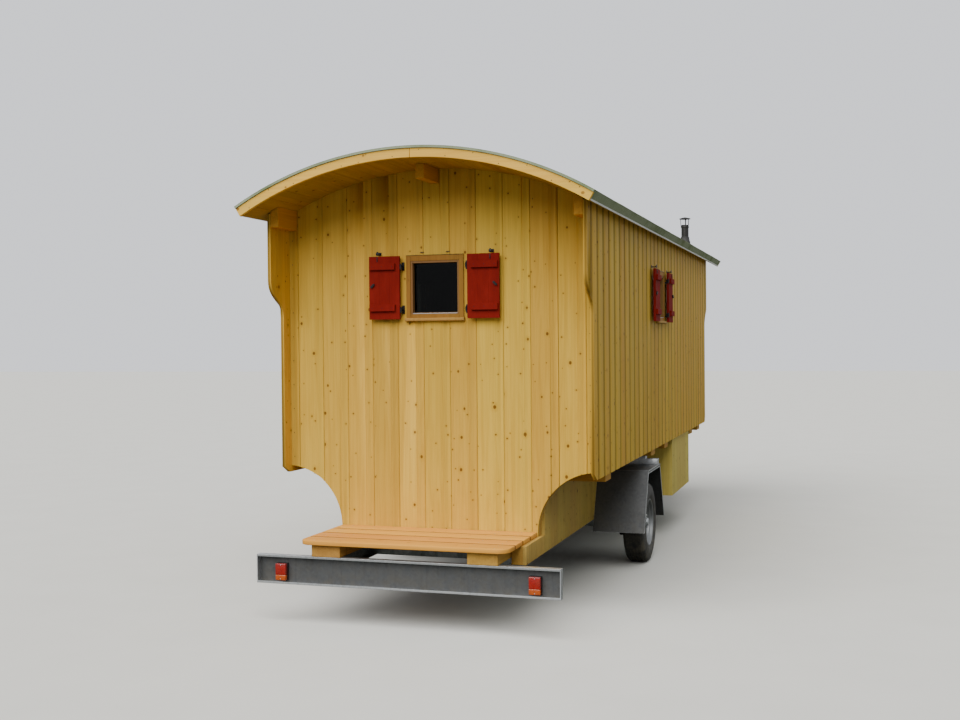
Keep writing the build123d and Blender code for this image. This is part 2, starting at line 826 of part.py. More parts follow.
# Chassis, one welded frame of channel rails, cross members and a drawbar
rail_back = rear_face - light_bar_place + light_bar_sheet + seat
rail_front = front_face - rail_inset
member_width = 2 * (rail_place + rail_width / 2 - rail_sheet)
nose_member = front_face - member_insets[1]
member_places = (
    rear_face + member_insets[0],
    axle_y + arm_throw,
    nose_member - nose_bay,
    nose_member,
)
bar_start = (rail_place - rail_width / 2 - bar_spread, nose_member)
bar_end = (drawbar_width / 2, front_face + drawbar_reach - bar_tip)
bar_angle = degrees(atan2(bar_start[0] - bar_end[0], bar_end[1] - bar_start[1]))
bar_run = hypot(bar_start[0] - bar_end[0], bar_end[1] - bar_start[1])
bar_middle = ((bar_start[0] + bar_end[0]) / 2, (bar_start[1] + bar_end[1]) / 2, coupling_height)
with BuildPart() as chassis:
    with BuildSketch(Plane.XZ.offset(-rail_back)):
        with Locations((rail_place, rail_top - rail_height / 2)):
            Rectangle(rail_width, rail_height)
            with Locations((-rail_sheet, 0)):
                Rectangle(rail_width, rail_height - 2 * rail_sheet, mode=Mode.SUBTRACT)
    extrude(amount=-(rail_front - rail_back))
    with Locations(Location(bar_middle, (0, 0, bar_angle)) * Pos(0, bar_overrun / 2, 0)):
        Box(drawbar_width, bar_run + bar_overrun, drawbar_height)
    split(bisect_by=Plane.YZ, keep=Keep.TOP)
    split(bisect_by=Plane.XZ.offset(-(front_face + drawbar_reach - coupling_length)), keep=Keep.TOP)
    mirror(about=Plane.YZ)
    with Locations(*[(0, place, rail_top - rail_height / 2) for place in member_places]):
        Box(member_width, member_thickness, rail_height - 2 * rail_sheet)
chassis.part.label = "chassis"
export_step(chassis.part, "parts/chassis.step")

bearer_height = floor_top - floor_thickness - rail_top - 2 * seat
bearer_pitch = (body_length - 2 * floor_bearer_inset) / (floor_bearer_count - 1)
with BuildPart() as floor_bearers:
    with Locations((0, body_middle, rail_top + seat)):
        with GridLocations(0, bearer_pitch, 1, floor_bearer_count):
            Box(
                2 * (lower_half - sill_depth - seat),
                floor_bearer_width,
                bearer_height,
                align=(Align.CENTER, Align.CENTER, Align.MIN),
            )
floor_bearers.part.label = "floor_bearers"
export_step(floor_bearers.part, "parts/floor_bearers.step")

with BuildPart() as coupling_head:
    with Locations((0, front_face + drawbar_reach, coupling_height)):
        Box(
            coupling_width,
            coupling_length - seat,
            drawbar_height,
            align=(Align.CENTER, Align.MAX, Align.CENTER),
        )
    fillet(coupling_head.edges().filter_by(Axis.Z).group_by(Axis.Y)[-1], radius=30)
    with Locations((0, front_face + drawbar_reach - 45, coupling_height - drawbar_height / 2)):
        Sphere(ball_radius, mode=Mode.SUBTRACT)
coupling_head.part.label = "coupling_head"
export_step(coupling_head.part, "parts/coupling_head.step")

stand_spot = Location(bar_middle, (0, 0, bar_angle)) * Pos(
    drawbar_width / 2 + stand_clamp, stand_along, -coupling_height
)
with BuildPart() as prop_stand:
    with Locations(stand_spot):
        Box(stand_foot, stand_foot, 8, align=(Align.CENTER, Align.CENTER, Align.MIN))
        Cylinder(stand_radius - 6, stand_sleeve_foot + 10, align=(Align.CENTER, Align.CENTER, Align.MIN))
    with Locations(stand_spot * Pos(0, 0, stand_sleeve_foot)):
        Cylinder(stand_radius, stand_sleeve, align=(Align.CENTER, Align.CENTER, Align.MIN))
    with Locations(stand_spot * Pos(0, 0, coupling_height)):
        Box(2 * stand_radius + 12, 2 * stand_radius + 12, 60)
        Box(stand_clamp - seat, 40, 60, align=(Align.MAX, Align.CENTER, Align.CENTER))
prop_stand.part.label = "prop_stand"
export_step(prop_stand.part, "parts/prop_stand.step")

tube_top = rail_top - rail_height - seat
tube_middle = tube_top - axle_tube / 2
arm_run = hypot(arm_throw, tyre_radius - tube_middle)
arm_tilt = degrees(atan2(tyre_radius - tube_middle, -arm_throw))
with BuildPart() as axle:
    with Locations((0, axle_y + arm_throw, tube_top)):
        Box(2 * arm_face, axle_tube, axle_tube, align=(Align.CENTER, Align.CENTER, Align.MAX))
    with BuildSketch(Plane.YZ.offset(arm_face)):
        with Locations((axle_y + arm_throw / 2, (tube_middle + tyre_radius) / 2)):
            SlotCenterToCenter(arm_run, axle_tube, rotation=arm_tilt)
    extrude(amount=arm_sheet)
    with Locations(Location((arm_face, axle_y, tyre_radius), (0, 90, 0))):
        Cylinder(stub_radius, stub_length, align=(Align.CENTER, Align.CENTER, Align.MIN))
    mirror(about=Plane.YZ)
axle.part.label = "axle"
export_step(axle.part, "parts/axle.step")

# Wheels, drawn about the axle line on the right side
wheel_plane = Plane(origin=(0, axle_y, tyre_radius), x_dir=(1, 0, 0), z_dir=(0, -1, 0))
tyre_in = tyre_place - tyre_width / 2
tyre_out = tyre_place + tyre_width / 2

with BuildPart() as right_tyre:
    with BuildSketch(wheel_plane):
        with BuildLine():
            Polyline(
                (tyre_in + 22, rim_radius + seat),
                (tyre_in, rim_radius + 60),
                (tyre_in + 14, tyre_radius - 8),
                (tyre_in + 30, tyre_radius),
                (tyre_out - 30, tyre_radius),
                (tyre_out - 14, tyre_radius - 8),
                (tyre_out, rim_radius + 60),
                (tyre_out - 22, rim_radius + seat),
                close=True,
            )
        make_face()
    revolve(axis=Axis((0, axle_y, tyre_radius), (1, 0, 0)))
right_tyre.part.label = "right_tyre"
export_step(right_tyre.part, "parts/right_tyre.step")

with BuildPart() as right_rim:
    with BuildSketch(wheel_plane):
        with BuildLine():
            Polyline(
                (tyre_in + 16, rim_radius),
                (tyre_in + 16, rim_radius - 12),
                (tyre_place + 6, rim_radius - 26),
                (tyre_place + 20, 70),
                (tyre_place - 60, 70),
                (tyre_place - 60, drum_radius),
                (tyre_in - 68, drum_radius),
                (tyre_in - 68, 0),
                (tyre_place + 60, 0),
                (tyre_place + 60, 32),
                (tyre_place + 28, 40),
                (tyre_place + 28, 70),
                (tyre_place + 14, rim_radius - 20),
                (tyre_out - 16, rim_radius - 12),
                (tyre_out - 16, rim_radius),
                close=True,
            )
        make_face()
    revolve(axis=Axis((0, axle_y, tyre_radius), (1, 0, 0)))
    with Locations(Location((arm_face + stub_length + 1, axle_y, tyre_radius), (0, 90, 0))):
        Cylinder(
            stub_radius + stub_clearance,
            400,
            align=(Align.CENTER, Align.CENTER, Align.MAX),
            mode=Mode.SUBTRACT,
        )
right_rim.part.label = "right_rim"
export_step(right_rim.part, "parts/right_rim.step")

with BuildPart() as left_tyre:
    add(right_tyre.part.mirror(Plane.YZ))
left_tyre.part.label = "left_tyre"
export_step(left_tyre.part, "parts/left_tyre.step")

with BuildPart() as left_rim:
    add(right_rim.part.mirror(Plane.YZ))
left_rim.part.label = "left_rim"
export_step(left_rim.part, "parts/left_rim.step")

# Fenders
fender_inner = lower_outer + seat


def draw_fender(inset):
    with BuildSketch() as fender:
        with BuildLine():
            Polyline(
                (axle_y - fender_bottom_half, fender_bottom),
                (axle_y - fender_top_half, fender_top),
                (axle_y + fender_top_half, fender_top),
                (axle_y + fender_bottom_half, fender_bottom),
                close=True,
            )
        make_face()
        with BuildLine():
            Polyline(
                (axle_y - fender_bottom_half + inset, fender_bottom - seat),
                (axle_y - fender_top_half + inset / 2, fender_top - inset),
                (axle_y + fender_top_half - inset / 2, fender_top - inset),
                (axle_y + fender_bottom_half - inset, fender_bottom - seat),
                close=True,
            )
        make_face(mode=Mode.SUBTRACT)
    return fender.sketch


with BuildPart() as fenders:
    with BuildSketch(Plane.YZ.offset(fender_inner)):
        add(draw_fender(fender_sheet))
    extrude(amount=fender_outer - fender_inner)
    with BuildSketch(Plane.YZ.offset(fender_outer - fender_sheet)):
        add(draw_fender(fender_rim))
    extrude(amount=fender_sheet)
    mirror(about=Plane.YZ)
fenders.part.label = "fenders"
export_step(fenders.part, "parts/fenders.step")

hanger_foot = fender_top + seat
hanger_top = shelf_bottom - joist_depth - 2 * seat
hanger_length = fender_outer - fender_inner - hanger_insets[0] - hanger_insets[1]
hanger_middle = fender_inner + hanger_insets[0] + hanger_length / 2
with BuildPart() as fender_hangers:
    with Locations((hanger_middle, axle_y + hanger_shift, hanger_foot)):
        Box(
            hanger_length,
            hanger_width,
            hanger_height,
            align=(Align.CENTER, Align.CENTER, Align.MIN),
        )
        Box(
            hanger_post,
            hanger_width,
            hanger_top - hanger_foot,
            align=(Align.CENTER, Align.CENTER, Align.MIN),
        )
    mirror(about=Plane.YZ)
fender_hangers.part.label = "fender_hangers"
export_step(fender_hangers.part, "parts/fender_hangers.step")

# Storage boxes
box_inner = lower_outer + seat
box_top = shelf_bottom - seat
box_middle = rear_face + box_start + box_length / 2
with BuildPart() as storage_boxes:
    with Locations((box_inner, box_middle, box_bottom)):
        Box(
            box_outer - box_panel - seat - box_inner,
            box_length,
            box_top - box_bottom,
            align=(Align.MIN, Align.CENTER, Align.MIN),
        )
    with Locations((box_inner + box_panel, box_middle, box_bottom + box_panel)):
        Box(
            box_outer,
            box_length - 2 * box_panel,
            box_top - box_bottom - 2 * box_panel,
            align=(Align.MIN, Align.CENTER, Align.MIN),
            mode=Mode.SUBTRACT,
        )
    with Locations((box_outer, box_middle, box_bottom)):
        Box(
            box_panel,
            box_length,
            cladding_bottom - seat - box_bottom,
            align=(Align.MAX, Align.CENTER, Align.MIN),
        )
    mirror(about=Plane.YZ)
storage_boxes.part.label = "storage_boxes"
export_step(storage_boxes.part, "parts/storage_boxes.step")

# Light bar, a lipped channel open to the rear, with a lamp near each end
bar_web = rear_face - light_bar_place
with BuildPart() as light_bar:
    with BuildSketch(Plane.YZ.offset(-light_bar_width / 2)):
        with Locations((bar_web + light_bar_sheet, rail_top)):
            Rectangle(light_bar_depth, light_bar_height, align=(Align.MAX, Align.MAX))
        with Locations((bar_web, rail_top - light_bar_sheet)):
            Rectangle(
                light_bar_depth - 2 * light_bar_sheet,
                light_bar_height - 2 * light_bar_sheet,
                align=(Align.MAX, Align.MAX),
                mode=Mode.SUBTRACT,
            )
        with Locations((bar_web, rail_top - light_bar_height / 2)):
            Rectangle(
                light_bar_depth,
                light_bar_height - 2 * light_bar_lip,
                align=(Align.MAX, Align.CENTER),
                mode=Mode.SUBTRACT,
            )
    extrude(amount=light_bar_width)
    for side in (-1, 1):
        with Locations((side * light_bar_width / 2, bar_web + light_bar_sheet, rail_top)):
            Box(
                2 * light_bar_sheet,
                light_bar_depth,
                light_bar_height,
                align=(Align.CENTER, Align.MAX, Align.MAX),
            )
light_bar.part.label = "light_bar"
export_step(light_bar.part, "parts/light_bar.step")

with BuildPart() as rear_lamps:
    for side in (-1, 1):
        with Locations((side * lamp_place, bar_web - seat, rail_top - light_bar_height + lamp_rise)):
            Box(*lamp_size, align=(Align.CENTER, Align.MAX, Align.CENTER))
    fillet(rear_lamps.edges().filter_by(Axis.Y), radius=lamp_corner)
rear_lamps.part.label = "rear_lamps"
export_step(rear_lamps.part, "parts/rear_lamps.step")
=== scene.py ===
import json
import math

import bmesh
import bpy
from mathutils import Matrix, Vector


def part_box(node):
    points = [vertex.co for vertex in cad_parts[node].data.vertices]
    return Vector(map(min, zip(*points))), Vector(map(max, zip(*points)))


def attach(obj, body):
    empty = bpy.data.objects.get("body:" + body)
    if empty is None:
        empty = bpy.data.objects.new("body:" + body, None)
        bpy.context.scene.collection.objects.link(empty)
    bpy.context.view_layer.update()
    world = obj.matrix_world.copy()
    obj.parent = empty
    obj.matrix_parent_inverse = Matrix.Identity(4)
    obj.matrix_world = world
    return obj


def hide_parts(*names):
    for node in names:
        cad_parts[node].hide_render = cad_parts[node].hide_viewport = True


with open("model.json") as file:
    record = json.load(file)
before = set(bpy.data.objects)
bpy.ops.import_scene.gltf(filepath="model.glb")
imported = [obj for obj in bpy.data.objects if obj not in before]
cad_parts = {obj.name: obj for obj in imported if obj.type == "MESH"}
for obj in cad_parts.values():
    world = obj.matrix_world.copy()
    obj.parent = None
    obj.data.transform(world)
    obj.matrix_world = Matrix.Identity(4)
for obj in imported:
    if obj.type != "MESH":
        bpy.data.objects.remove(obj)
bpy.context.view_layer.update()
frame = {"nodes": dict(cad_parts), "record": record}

mm = 0.001
seam = 0.0003  # left between pieces that lie on each other
stage = bpy.context.scene.collection
bodyOf = {node: body for body, nodes in frame["record"]["behaviour"]["bodies"].items() for node in nodes}
move = Matrix.Translation


def turnBy(degrees, axis):
    return Matrix.Rotation(math.radians(degrees), 4, axis)


# shader trees: a short word for each node that comes up again and again

class Tree:
    def __init__(self, nodeTree):
        self.nodeTree = nodeTree

    def feed(self, socket, value):
        if isinstance(value, bpy.types.NodeSocket):
            self.nodeTree.links.new(value, socket)
        else:
            socket.default_value = value

    def fill(self, sockets, values):
        for key, value in values.items():
            self.feed(sockets[key], value)

    def node(self, kind, inputs=(), **settings):
        made = self.nodeTree.nodes.new("ShaderNode" + kind)
        for key, value in settings.items():
            setattr(made, key, value)
        self.fill(made.inputs, dict(inputs))
        return made

    def calc(self, operation, *values, clamp=False):
        return self.node("Math", dict(enumerate(values)), operation=operation, use_clamp=clamp).outputs[0]

    def times(self, first, second):
        return self.calc("MULTIPLY", first, second)

    def scaled(self, value, factor, start):
        return self.calc("MULTIPLY_ADD", value, factor, start)

    def mix(self, factor, first, second, blend="MIX"):
        inputs = {0: factor, 6: first, 7: second}
        return self.node("Mix", inputs, data_type="RGBA", blend_type=blend).outputs[2]

    def ease(self, value, low, high, start=0.0, end=1.0):
        inputs = {0: value, 1: low, 2: high, 3: start, 4: end}
        return self.node("MapRange", inputs, interpolation_type="SMOOTHSTEP").outputs[0]

    def cloud(self, place, scale, detail=2.0, roughness=0.5):
        inputs = {"Vector": place, "Scale": scale, "Detail": detail, "Roughness": roughness}
        return self.node("TexNoise", inputs).outputs[0]

    def cells(self, place, scale, dimensions="3D"):
        inputs = {"Vector": place, "Scale": scale}
        return self.node("TexVoronoi", inputs, voronoi_dimensions=dimensions).outputs

    def stretch(self, place, *factors):
        return self.node("VectorMath", {0: place, 1: factors}, operation="MULTIPLY").outputs[0]

    def axes(self, place):
        return self.node("SeparateXYZ", {0: place}).outputs

    def channels(self, color):
        return self.node("SeparateColor", {0: color}).outputs

    def group(self, group, **inputs):
        return self.node("Group", inputs, node_tree=group).outputs


def tone(red, green, blue):  # a colour as a screen shows it, 0 to 255
    linear = [((v / 255 + 0.055) / 1.055) ** 2.4 if v > 10 else v / 255 / 12.92 for v in (red, green, blue)]
    return (*linear, 1.0)


def startGroup(name, inputs, outputs="Color:Color Roughness Height"):  # a socket without a kind is a number
    group = bpy.data.node_groups.new(name, "ShaderNodeTree")
    for direction, labels in (("INPUT", inputs), ("OUTPUT", outputs)):
        for label in labels.split():
            title, kind = (label.split(":") + ["Float"])[:2]
            group.interface.new_socket(name=title, in_out=direction, socket_type="NodeSocket" + kind)
    return Tree(group), group.nodes.new("NodeGroupInput").outputs, group.nodes.new("NodeGroupOutput").inputs


smallKnots = {"scale": 9.0, "share": 0.5, "least": 0.0028, "more": 0.0036}  # radii in metres
largeKnots = {"scale": 4.8, "share": 0.46, "least": 0.006, "more": 0.0055}


def knotLayer(tree, place, kind):
    cells = tree.cells(place, kind["scale"], "2D")
    red, green = tree.channels(cells["Color"])[:2]
    radius = tree.scaled(green, kind["more"] * kind["scale"], kind["least"] * kind["scale"])
    reach = tree.calc("DIVIDE", cells["Distance"], radius)
    chosen = tree.calc("LESS_THAN", red, kind["share"])
    return [tree.times(tree.ease(reach, low, high), chosen) for low, high in ((1.15, 0.7), (3.4, 1.0))]


def plankWoodGroup():
    tree, given, out = startGroup("plankWood", "Place:Vector Pitch Shift Light:Color Dark:Color Knots Figure")
    across, along, depth = tree.axes(given["Place"])
    shifted = tree.calc("SUBTRACT", across, given["Shift"])
    row = tree.calc("FLOOR", tree.calc("DIVIDE", shifted, given["Pitch"]))
    chance = tree.node("TexWhiteNoise", {"W": row}, noise_dimensions="1D")
    first, second, third = tree.channels(chance.outputs["Color"])
    places = {0: (first, 7.0, shifted), 1: (second, 13.0, along), 2: (third, 5.0, depth)}
    moved = tree.node("CombineXYZ", {key: tree.scaled(*parts) for key, parts in places.items()}).outputs[0]
    small = knotLayer(tree, moved, smallKnots)
    large = knotLayer(tree, tree.stretch(moved, 1.0, 0.8, 1.0), largeKnots)
    core, halo = [tree.times(tree.calc("MAXIMUM", *pair), given["Knots"]) for pair in zip(small, large)]

    def drawnOut(share, scale, detail=2.0, roughness=0.5):  # noise drawn out along the board
        return tree.cloud(tree.stretch(moved, 1.0, share, 1.0), scale, detail, roughness)

    figure = tree.scaled(halo, 0.04, drawnOut(0.035, 17.0, 1.5, 0.45))
    rings = tree.scaled(tree.calc("SINE", tree.times(figure, 58.0)), 0.5, 0.5)
    fibres = drawnOut(0.014, 420.0, 2.0, 0.6)
    bands = drawnOut(0.02, 42.0)
    patches = drawnOut(0.2, 5.0)
    grain = tree.times(tree.calc("POWER", rings, 2.0), given["Figure"])
    for layer, low, high, amount in (
        (fibres, 0.35, 0.7, 0.16),
        (bands, 0.38, 0.66, 0.2),
        (patches, 0.3, 0.7, 0.22),
    ):
        grain = tree.scaled(tree.ease(layer, low, high), amount, grain)
    value = tree.scaled(tree.calc("SUBTRACT", third, 0.5), 0.17, 1.0)
    hue = tree.scaled(tree.calc("SUBTRACT", first, 0.5), 0.012, 0.5)
    color = tree.mix(grain, given["Light"], given["Dark"])
    color = tree.node("HueSaturation", {"Hue": hue, "Value": value, "Color": color}).outputs[0]
    color = tree.mix(tree.times(halo, 0.32), color, given["Dark"])
    knotTone = tree.mix(1.0, given["Dark"], (0.3, 0.2, 0.25, 1.0), "MULTIPLY")
    height = tree.scaled(rings, -0.2, tree.times(fibres, 0.5))
    tree.fill(out, {
        "Color": tree.mix(tree.times(core, 0.88), color, knotTone),
        "Roughness": tree.scaled(fibres, 0.2, 0.5),
        "Height": tree.scaled(core, 0.4, height),
    })
    return tree.nodeTree


def zincSkinGroup():
    tree, given, out = startGroup("zincSkin", "Place:Vector Light:Color Dark:Color Size")
    spangle = tree.channels(tree.cells(given["Place"], given["Size"])["Color"])[0]
    bloom = tree.cloud(given["Place"], 7.0, 4.0, 0.6)
    streaks = tree.cloud(tree.stretch(given["Place"], 1.0, 1.0, 0.08), 40.0, 3.0, 0.6)
    factor = tree.scaled(tree.ease(bloom, 0.35, 0.68), 0.4, tree.times(spangle, 0.35))
    factor = tree.scaled(tree.ease(streaks, 0.5, 0.75), 0.25, factor)
    tree.fill(out, {
        "Color": tree.mix(factor, given["Light"], given["Dark"]),
        "Roughness": tree.scaled(factor, 0.28, 0.34),
        "Height": tree.scaled(spangle, 0.2, tree.times(bloom, 0.5)),
    })
    return tree.nodeTree


def paintSkinGroup():
    tree, given, out = startGroup("paintSkin", "Place:Vector Paint:Color Faded:Color Under:Color Wear")
    fade = tree.cloud(tree.stretch(given["Place"], 1.0, 1.0, 0.3), 12.0, 3.0, 0.6)
    fibres = tree.cloud(tree.stretch(given["Place"], 1.0, 1.0, 0.03), 420.0, 2.0, 0.6)
    chips = tree.cloud(given["Place"], 95.0, 4.0, 0.7)
    limit = tree.scaled(given["Wear"], -0.2, 0.82)
    bare = tree.ease(chips, limit, tree.calc("ADD", limit, 0.03))
    color = tree.mix(tree.ease(fade, 0.35, 0.75), given["Paint"], given["Faded"])
    color = tree.mix(tree.times(tree.ease(fibres, 0.5, 0.8), 0.35), color, given["Under"])
    tree.fill(out, {
        "Color": tree.mix(bare, color, given["Under"]),
        "Roughness": tree.scaled(bare, 0.25, tree.scaled(fade, 0.2, 0.3)),
        "Height": tree.scaled(bare, -0.6, tree.times(fibres, 0.5)),
    })
    return tree.nodeTree


def groundDustGroup():
    tree, given, out = startGroup("groundDust", "Place:Vector Reach Amount", "Mask")
    low = tree.ease(tree.calc("DIVIDE", tree.axes(given["Place"])[2], given["Reach"]), 1.0, 0.0)
    splash = tree.ease(tree.cloud(given["Place"], 18.0, 5.0, 0.65), 0.34, 0.72)
    tree.feed(out["Mask"], tree.calc("MULTIPLY", tree.times(low, splash), given["Amount"], clamp=True))
    return tree.nodeTree


# painted shade: this mask marks how deep a point lies in the cladding's coves and joint slots, so they can be
# darkened
def recessShadeGroup():  # how deep a point lies behind the face of a pair of opposite walls
    tree, given, out = startGroup("recessShadeMask", "Across Middle Half Start Full", "Mask")
    offset = tree.calc("ABSOLUTE", tree.calc("SUBTRACT", given["Across"], given["Middle"]))
    depth = tree.calc("SUBTRACT", given["Half"], offset)
    shallow = tree.ease(depth, 18 * mm, 14 * mm)
    tree.feed(out["Mask"], tree.times(tree.ease(depth, given["Start"], given["Full"]), shallow))
    return tree.nodeTree


plankWood = plankWoodGroup()
zincSkin = zincSkinGroup()
paintSkin = paintSkinGroup()
groundDust = groundDustGroup()
recessShadeMask = recessShadeGroup()
dustTone = tone(104, 92, 62)
# the colour of the painted shade in the cladding's coves and joint slots
recessShadeTone = tone(98, 77, 26)


def startMaterial(name, constants=()):
    material = bpy.data.materials.new(name)
    material.use_nodes = True
    tree = Tree(material.node_tree)
    shader = tree.nodeTree.nodes["Principled BSDF"]
    tree.fill(shader.inputs, dict(constants))
    return material, tree, shader, tree.node("TexCoord").outputs["Object"]


def finishMaterial(tree, shader, color, roughness, height, bumpDepth, bumpStrength=0.6):
    bump = tree.node("Bump", {"Strength": bumpStrength, "Distance": bumpDepth * mm, "Height": height})
    tree.fill(shader.inputs, {"Base Color": color, "Roughness": roughness, "Normal": bump.outputs[0]})


def dustMask(tree, place, amount, reach):
    return tree.group(groundDust, Place=place, Reach=reach, Amount=amount)["Mask"]


def timber(  # order names the axes across the grain, along it and through the board
    name, order, light, dark, pitch=0.19, shift=0.0, knots=1.0,
    dirt=0.0, reach=0.6, bump=0.9, figure=0.16, paintedRecessShade=None,
):
    material, tree, shader, place = startMaterial(name, {"Specular IOR Level": 0.1})
    parts = dict(zip("XYZ", tree.axes(place)))
    ordered = tree.node("CombineXYZ", dict(enumerate(parts[letter] for letter in order))).outputs[0]
    grain = tree.group(
        plankWood, Place=ordered, Pitch=pitch, Shift=shift, Light=tone(*light), Dark=tone(*dark),
        Knots=knots, Figure=figure,
    )
    color = grain["Color"]
    # painted shade: the coves and joint slots are darkened by how deep they lie
    if paintedRecessShade:
        axis, middle, half, amount, start, full = paintedRecessShade
        depths = {"Start": start * mm, "Full": full * mm}
        mask = tree.group(recessShadeMask, Across=parts[axis], Middle=middle, Half=half, **depths)["Mask"]
        color = tree.mix(tree.times(mask, amount), color, recessShadeTone)
    if dirt:
        color = tree.mix(dustMask(tree, place, dirt, reach), color, dustTone)
    finishMaterial(tree, shader, color, grain["Roughness"], grain["Height"], bump)
    return material


def zinc(name, light, dark, size=70.0, metallic=0.85, dirt=0.4):
    material, tree, shader, place = startMaterial(name, {"Metallic": metallic})
    skin = tree.group(zincSkin, Place=place, Light=tone(*light), Dark=tone(*dark), Size=size)
    mask = dustMask(tree, place, dirt, 0.6)
    color = tree.mix(mask, skin["Color"], dustTone)
    finishMaterial(tree, shader, color, tree.scaled(mask, 0.3, skin["Roughness"]), skin["Height"], 0.4, 0.4)
    return material


def painted(name, paint, faded, under, wear, metallic=0.0, bump=0.4, shine=0.5, dull=0.0):
    constants = {"Metallic": metallic, "Specular IOR Level": shine}
    material, tree, shader, place = startMaterial(name, constants)
    tones = {"Paint": tone(*paint), "Faded": tone(*faded), "Under": tone(*under)}
    skin = tree.group(paintSkin, Place=place, Wear=wear, **tones)
    roughness = tree.calc("ADD", skin["Roughness"], dull)
    finishMaterial(tree, shader, skin["Color"], roughness, skin["Height"], bump)
    return material


def feltMaterial():
    material, tree, shader, place = startMaterial("mineralFelt", {"Specular IOR Level": 0.15})
    granules = tree.cloud(place, 700.0, 3.0, 0.7)
    moss = tree.cloud(place, 3.5, 5.0, 0.62)
    color = tree.mix(tree.ease(granules, 0.3, 0.7), tone(122, 134, 106), tone(170, 177, 150))
    color = tree.mix(tree.ease(moss, 0.45, 0.75), color, tone(116, 128, 92))
    finishMaterial(tree, shader, color, tree.scaled(granules, 0.1, 0.82), granules, 0.8, 0.8)
    return material


def rubberMaterial():
    material, tree, shader, place = startMaterial("tyreRubber")
    fine = tree.cloud(place, 160.0, 3.0, 0.6)
    color = tree.mix(fine, tone(26, 26, 27), tone(46, 45, 44))
    # dust near the ground, which also paints the sky's reflection on the sidewalls as a lighter grey
    color = tree.mix(dustMask(tree, place, 0.75, 0.9), color, tone(98, 92, 78))
    finishMaterial(tree, shader, color, tree.scaled(fine, 0.15, 0.62), fine, 0.5, 0.5)
    return material


def glassMaterial():
    material, tree, shader, place = startMaterial("windowPane", {"Transmission Weight": 1.0, "IOR": 1.2})
    smear = tree.cloud(tree.stretch(place, 1.0, 1.0, 0.2), 9.0, 3.0, 0.6)
    tree.feed(shader.inputs["Base Color"], tree.mix(smear, tone(60, 64, 56), tone(80, 84, 76)))
    tree.feed(shader.inputs["Roughness"], tree.ease(smear, 0.3, 0.8, 0.01, 0.07))
    return material


def lampMaterial(name, rimReflectionAndWebShade, deep):
    material, tree, shader, place = startMaterial(name, {"Coat Weight": 0.6})
    facets = tree.cells(place, 240.0)["Distance"]
    color = tree.mix(facets, tone(*rimReflectionAndWebShade), tone(*deep))
    color = tree.mix(dustMask(tree, place, 0.35, 0.7), color, dustTone)
    finishMaterial(tree, shader, color, 0.22, facets, 0.6, 0.5)
    return material


spruce = (214, 175, 70), (180, 136, 43)
gablePitch, sidePitch, deckPitch = 0.1892, 0.19, 0.177
gableShift = 0.011 - 0.5 * gablePitch
sideShift = -3.125 + 0.36 * sidePitch
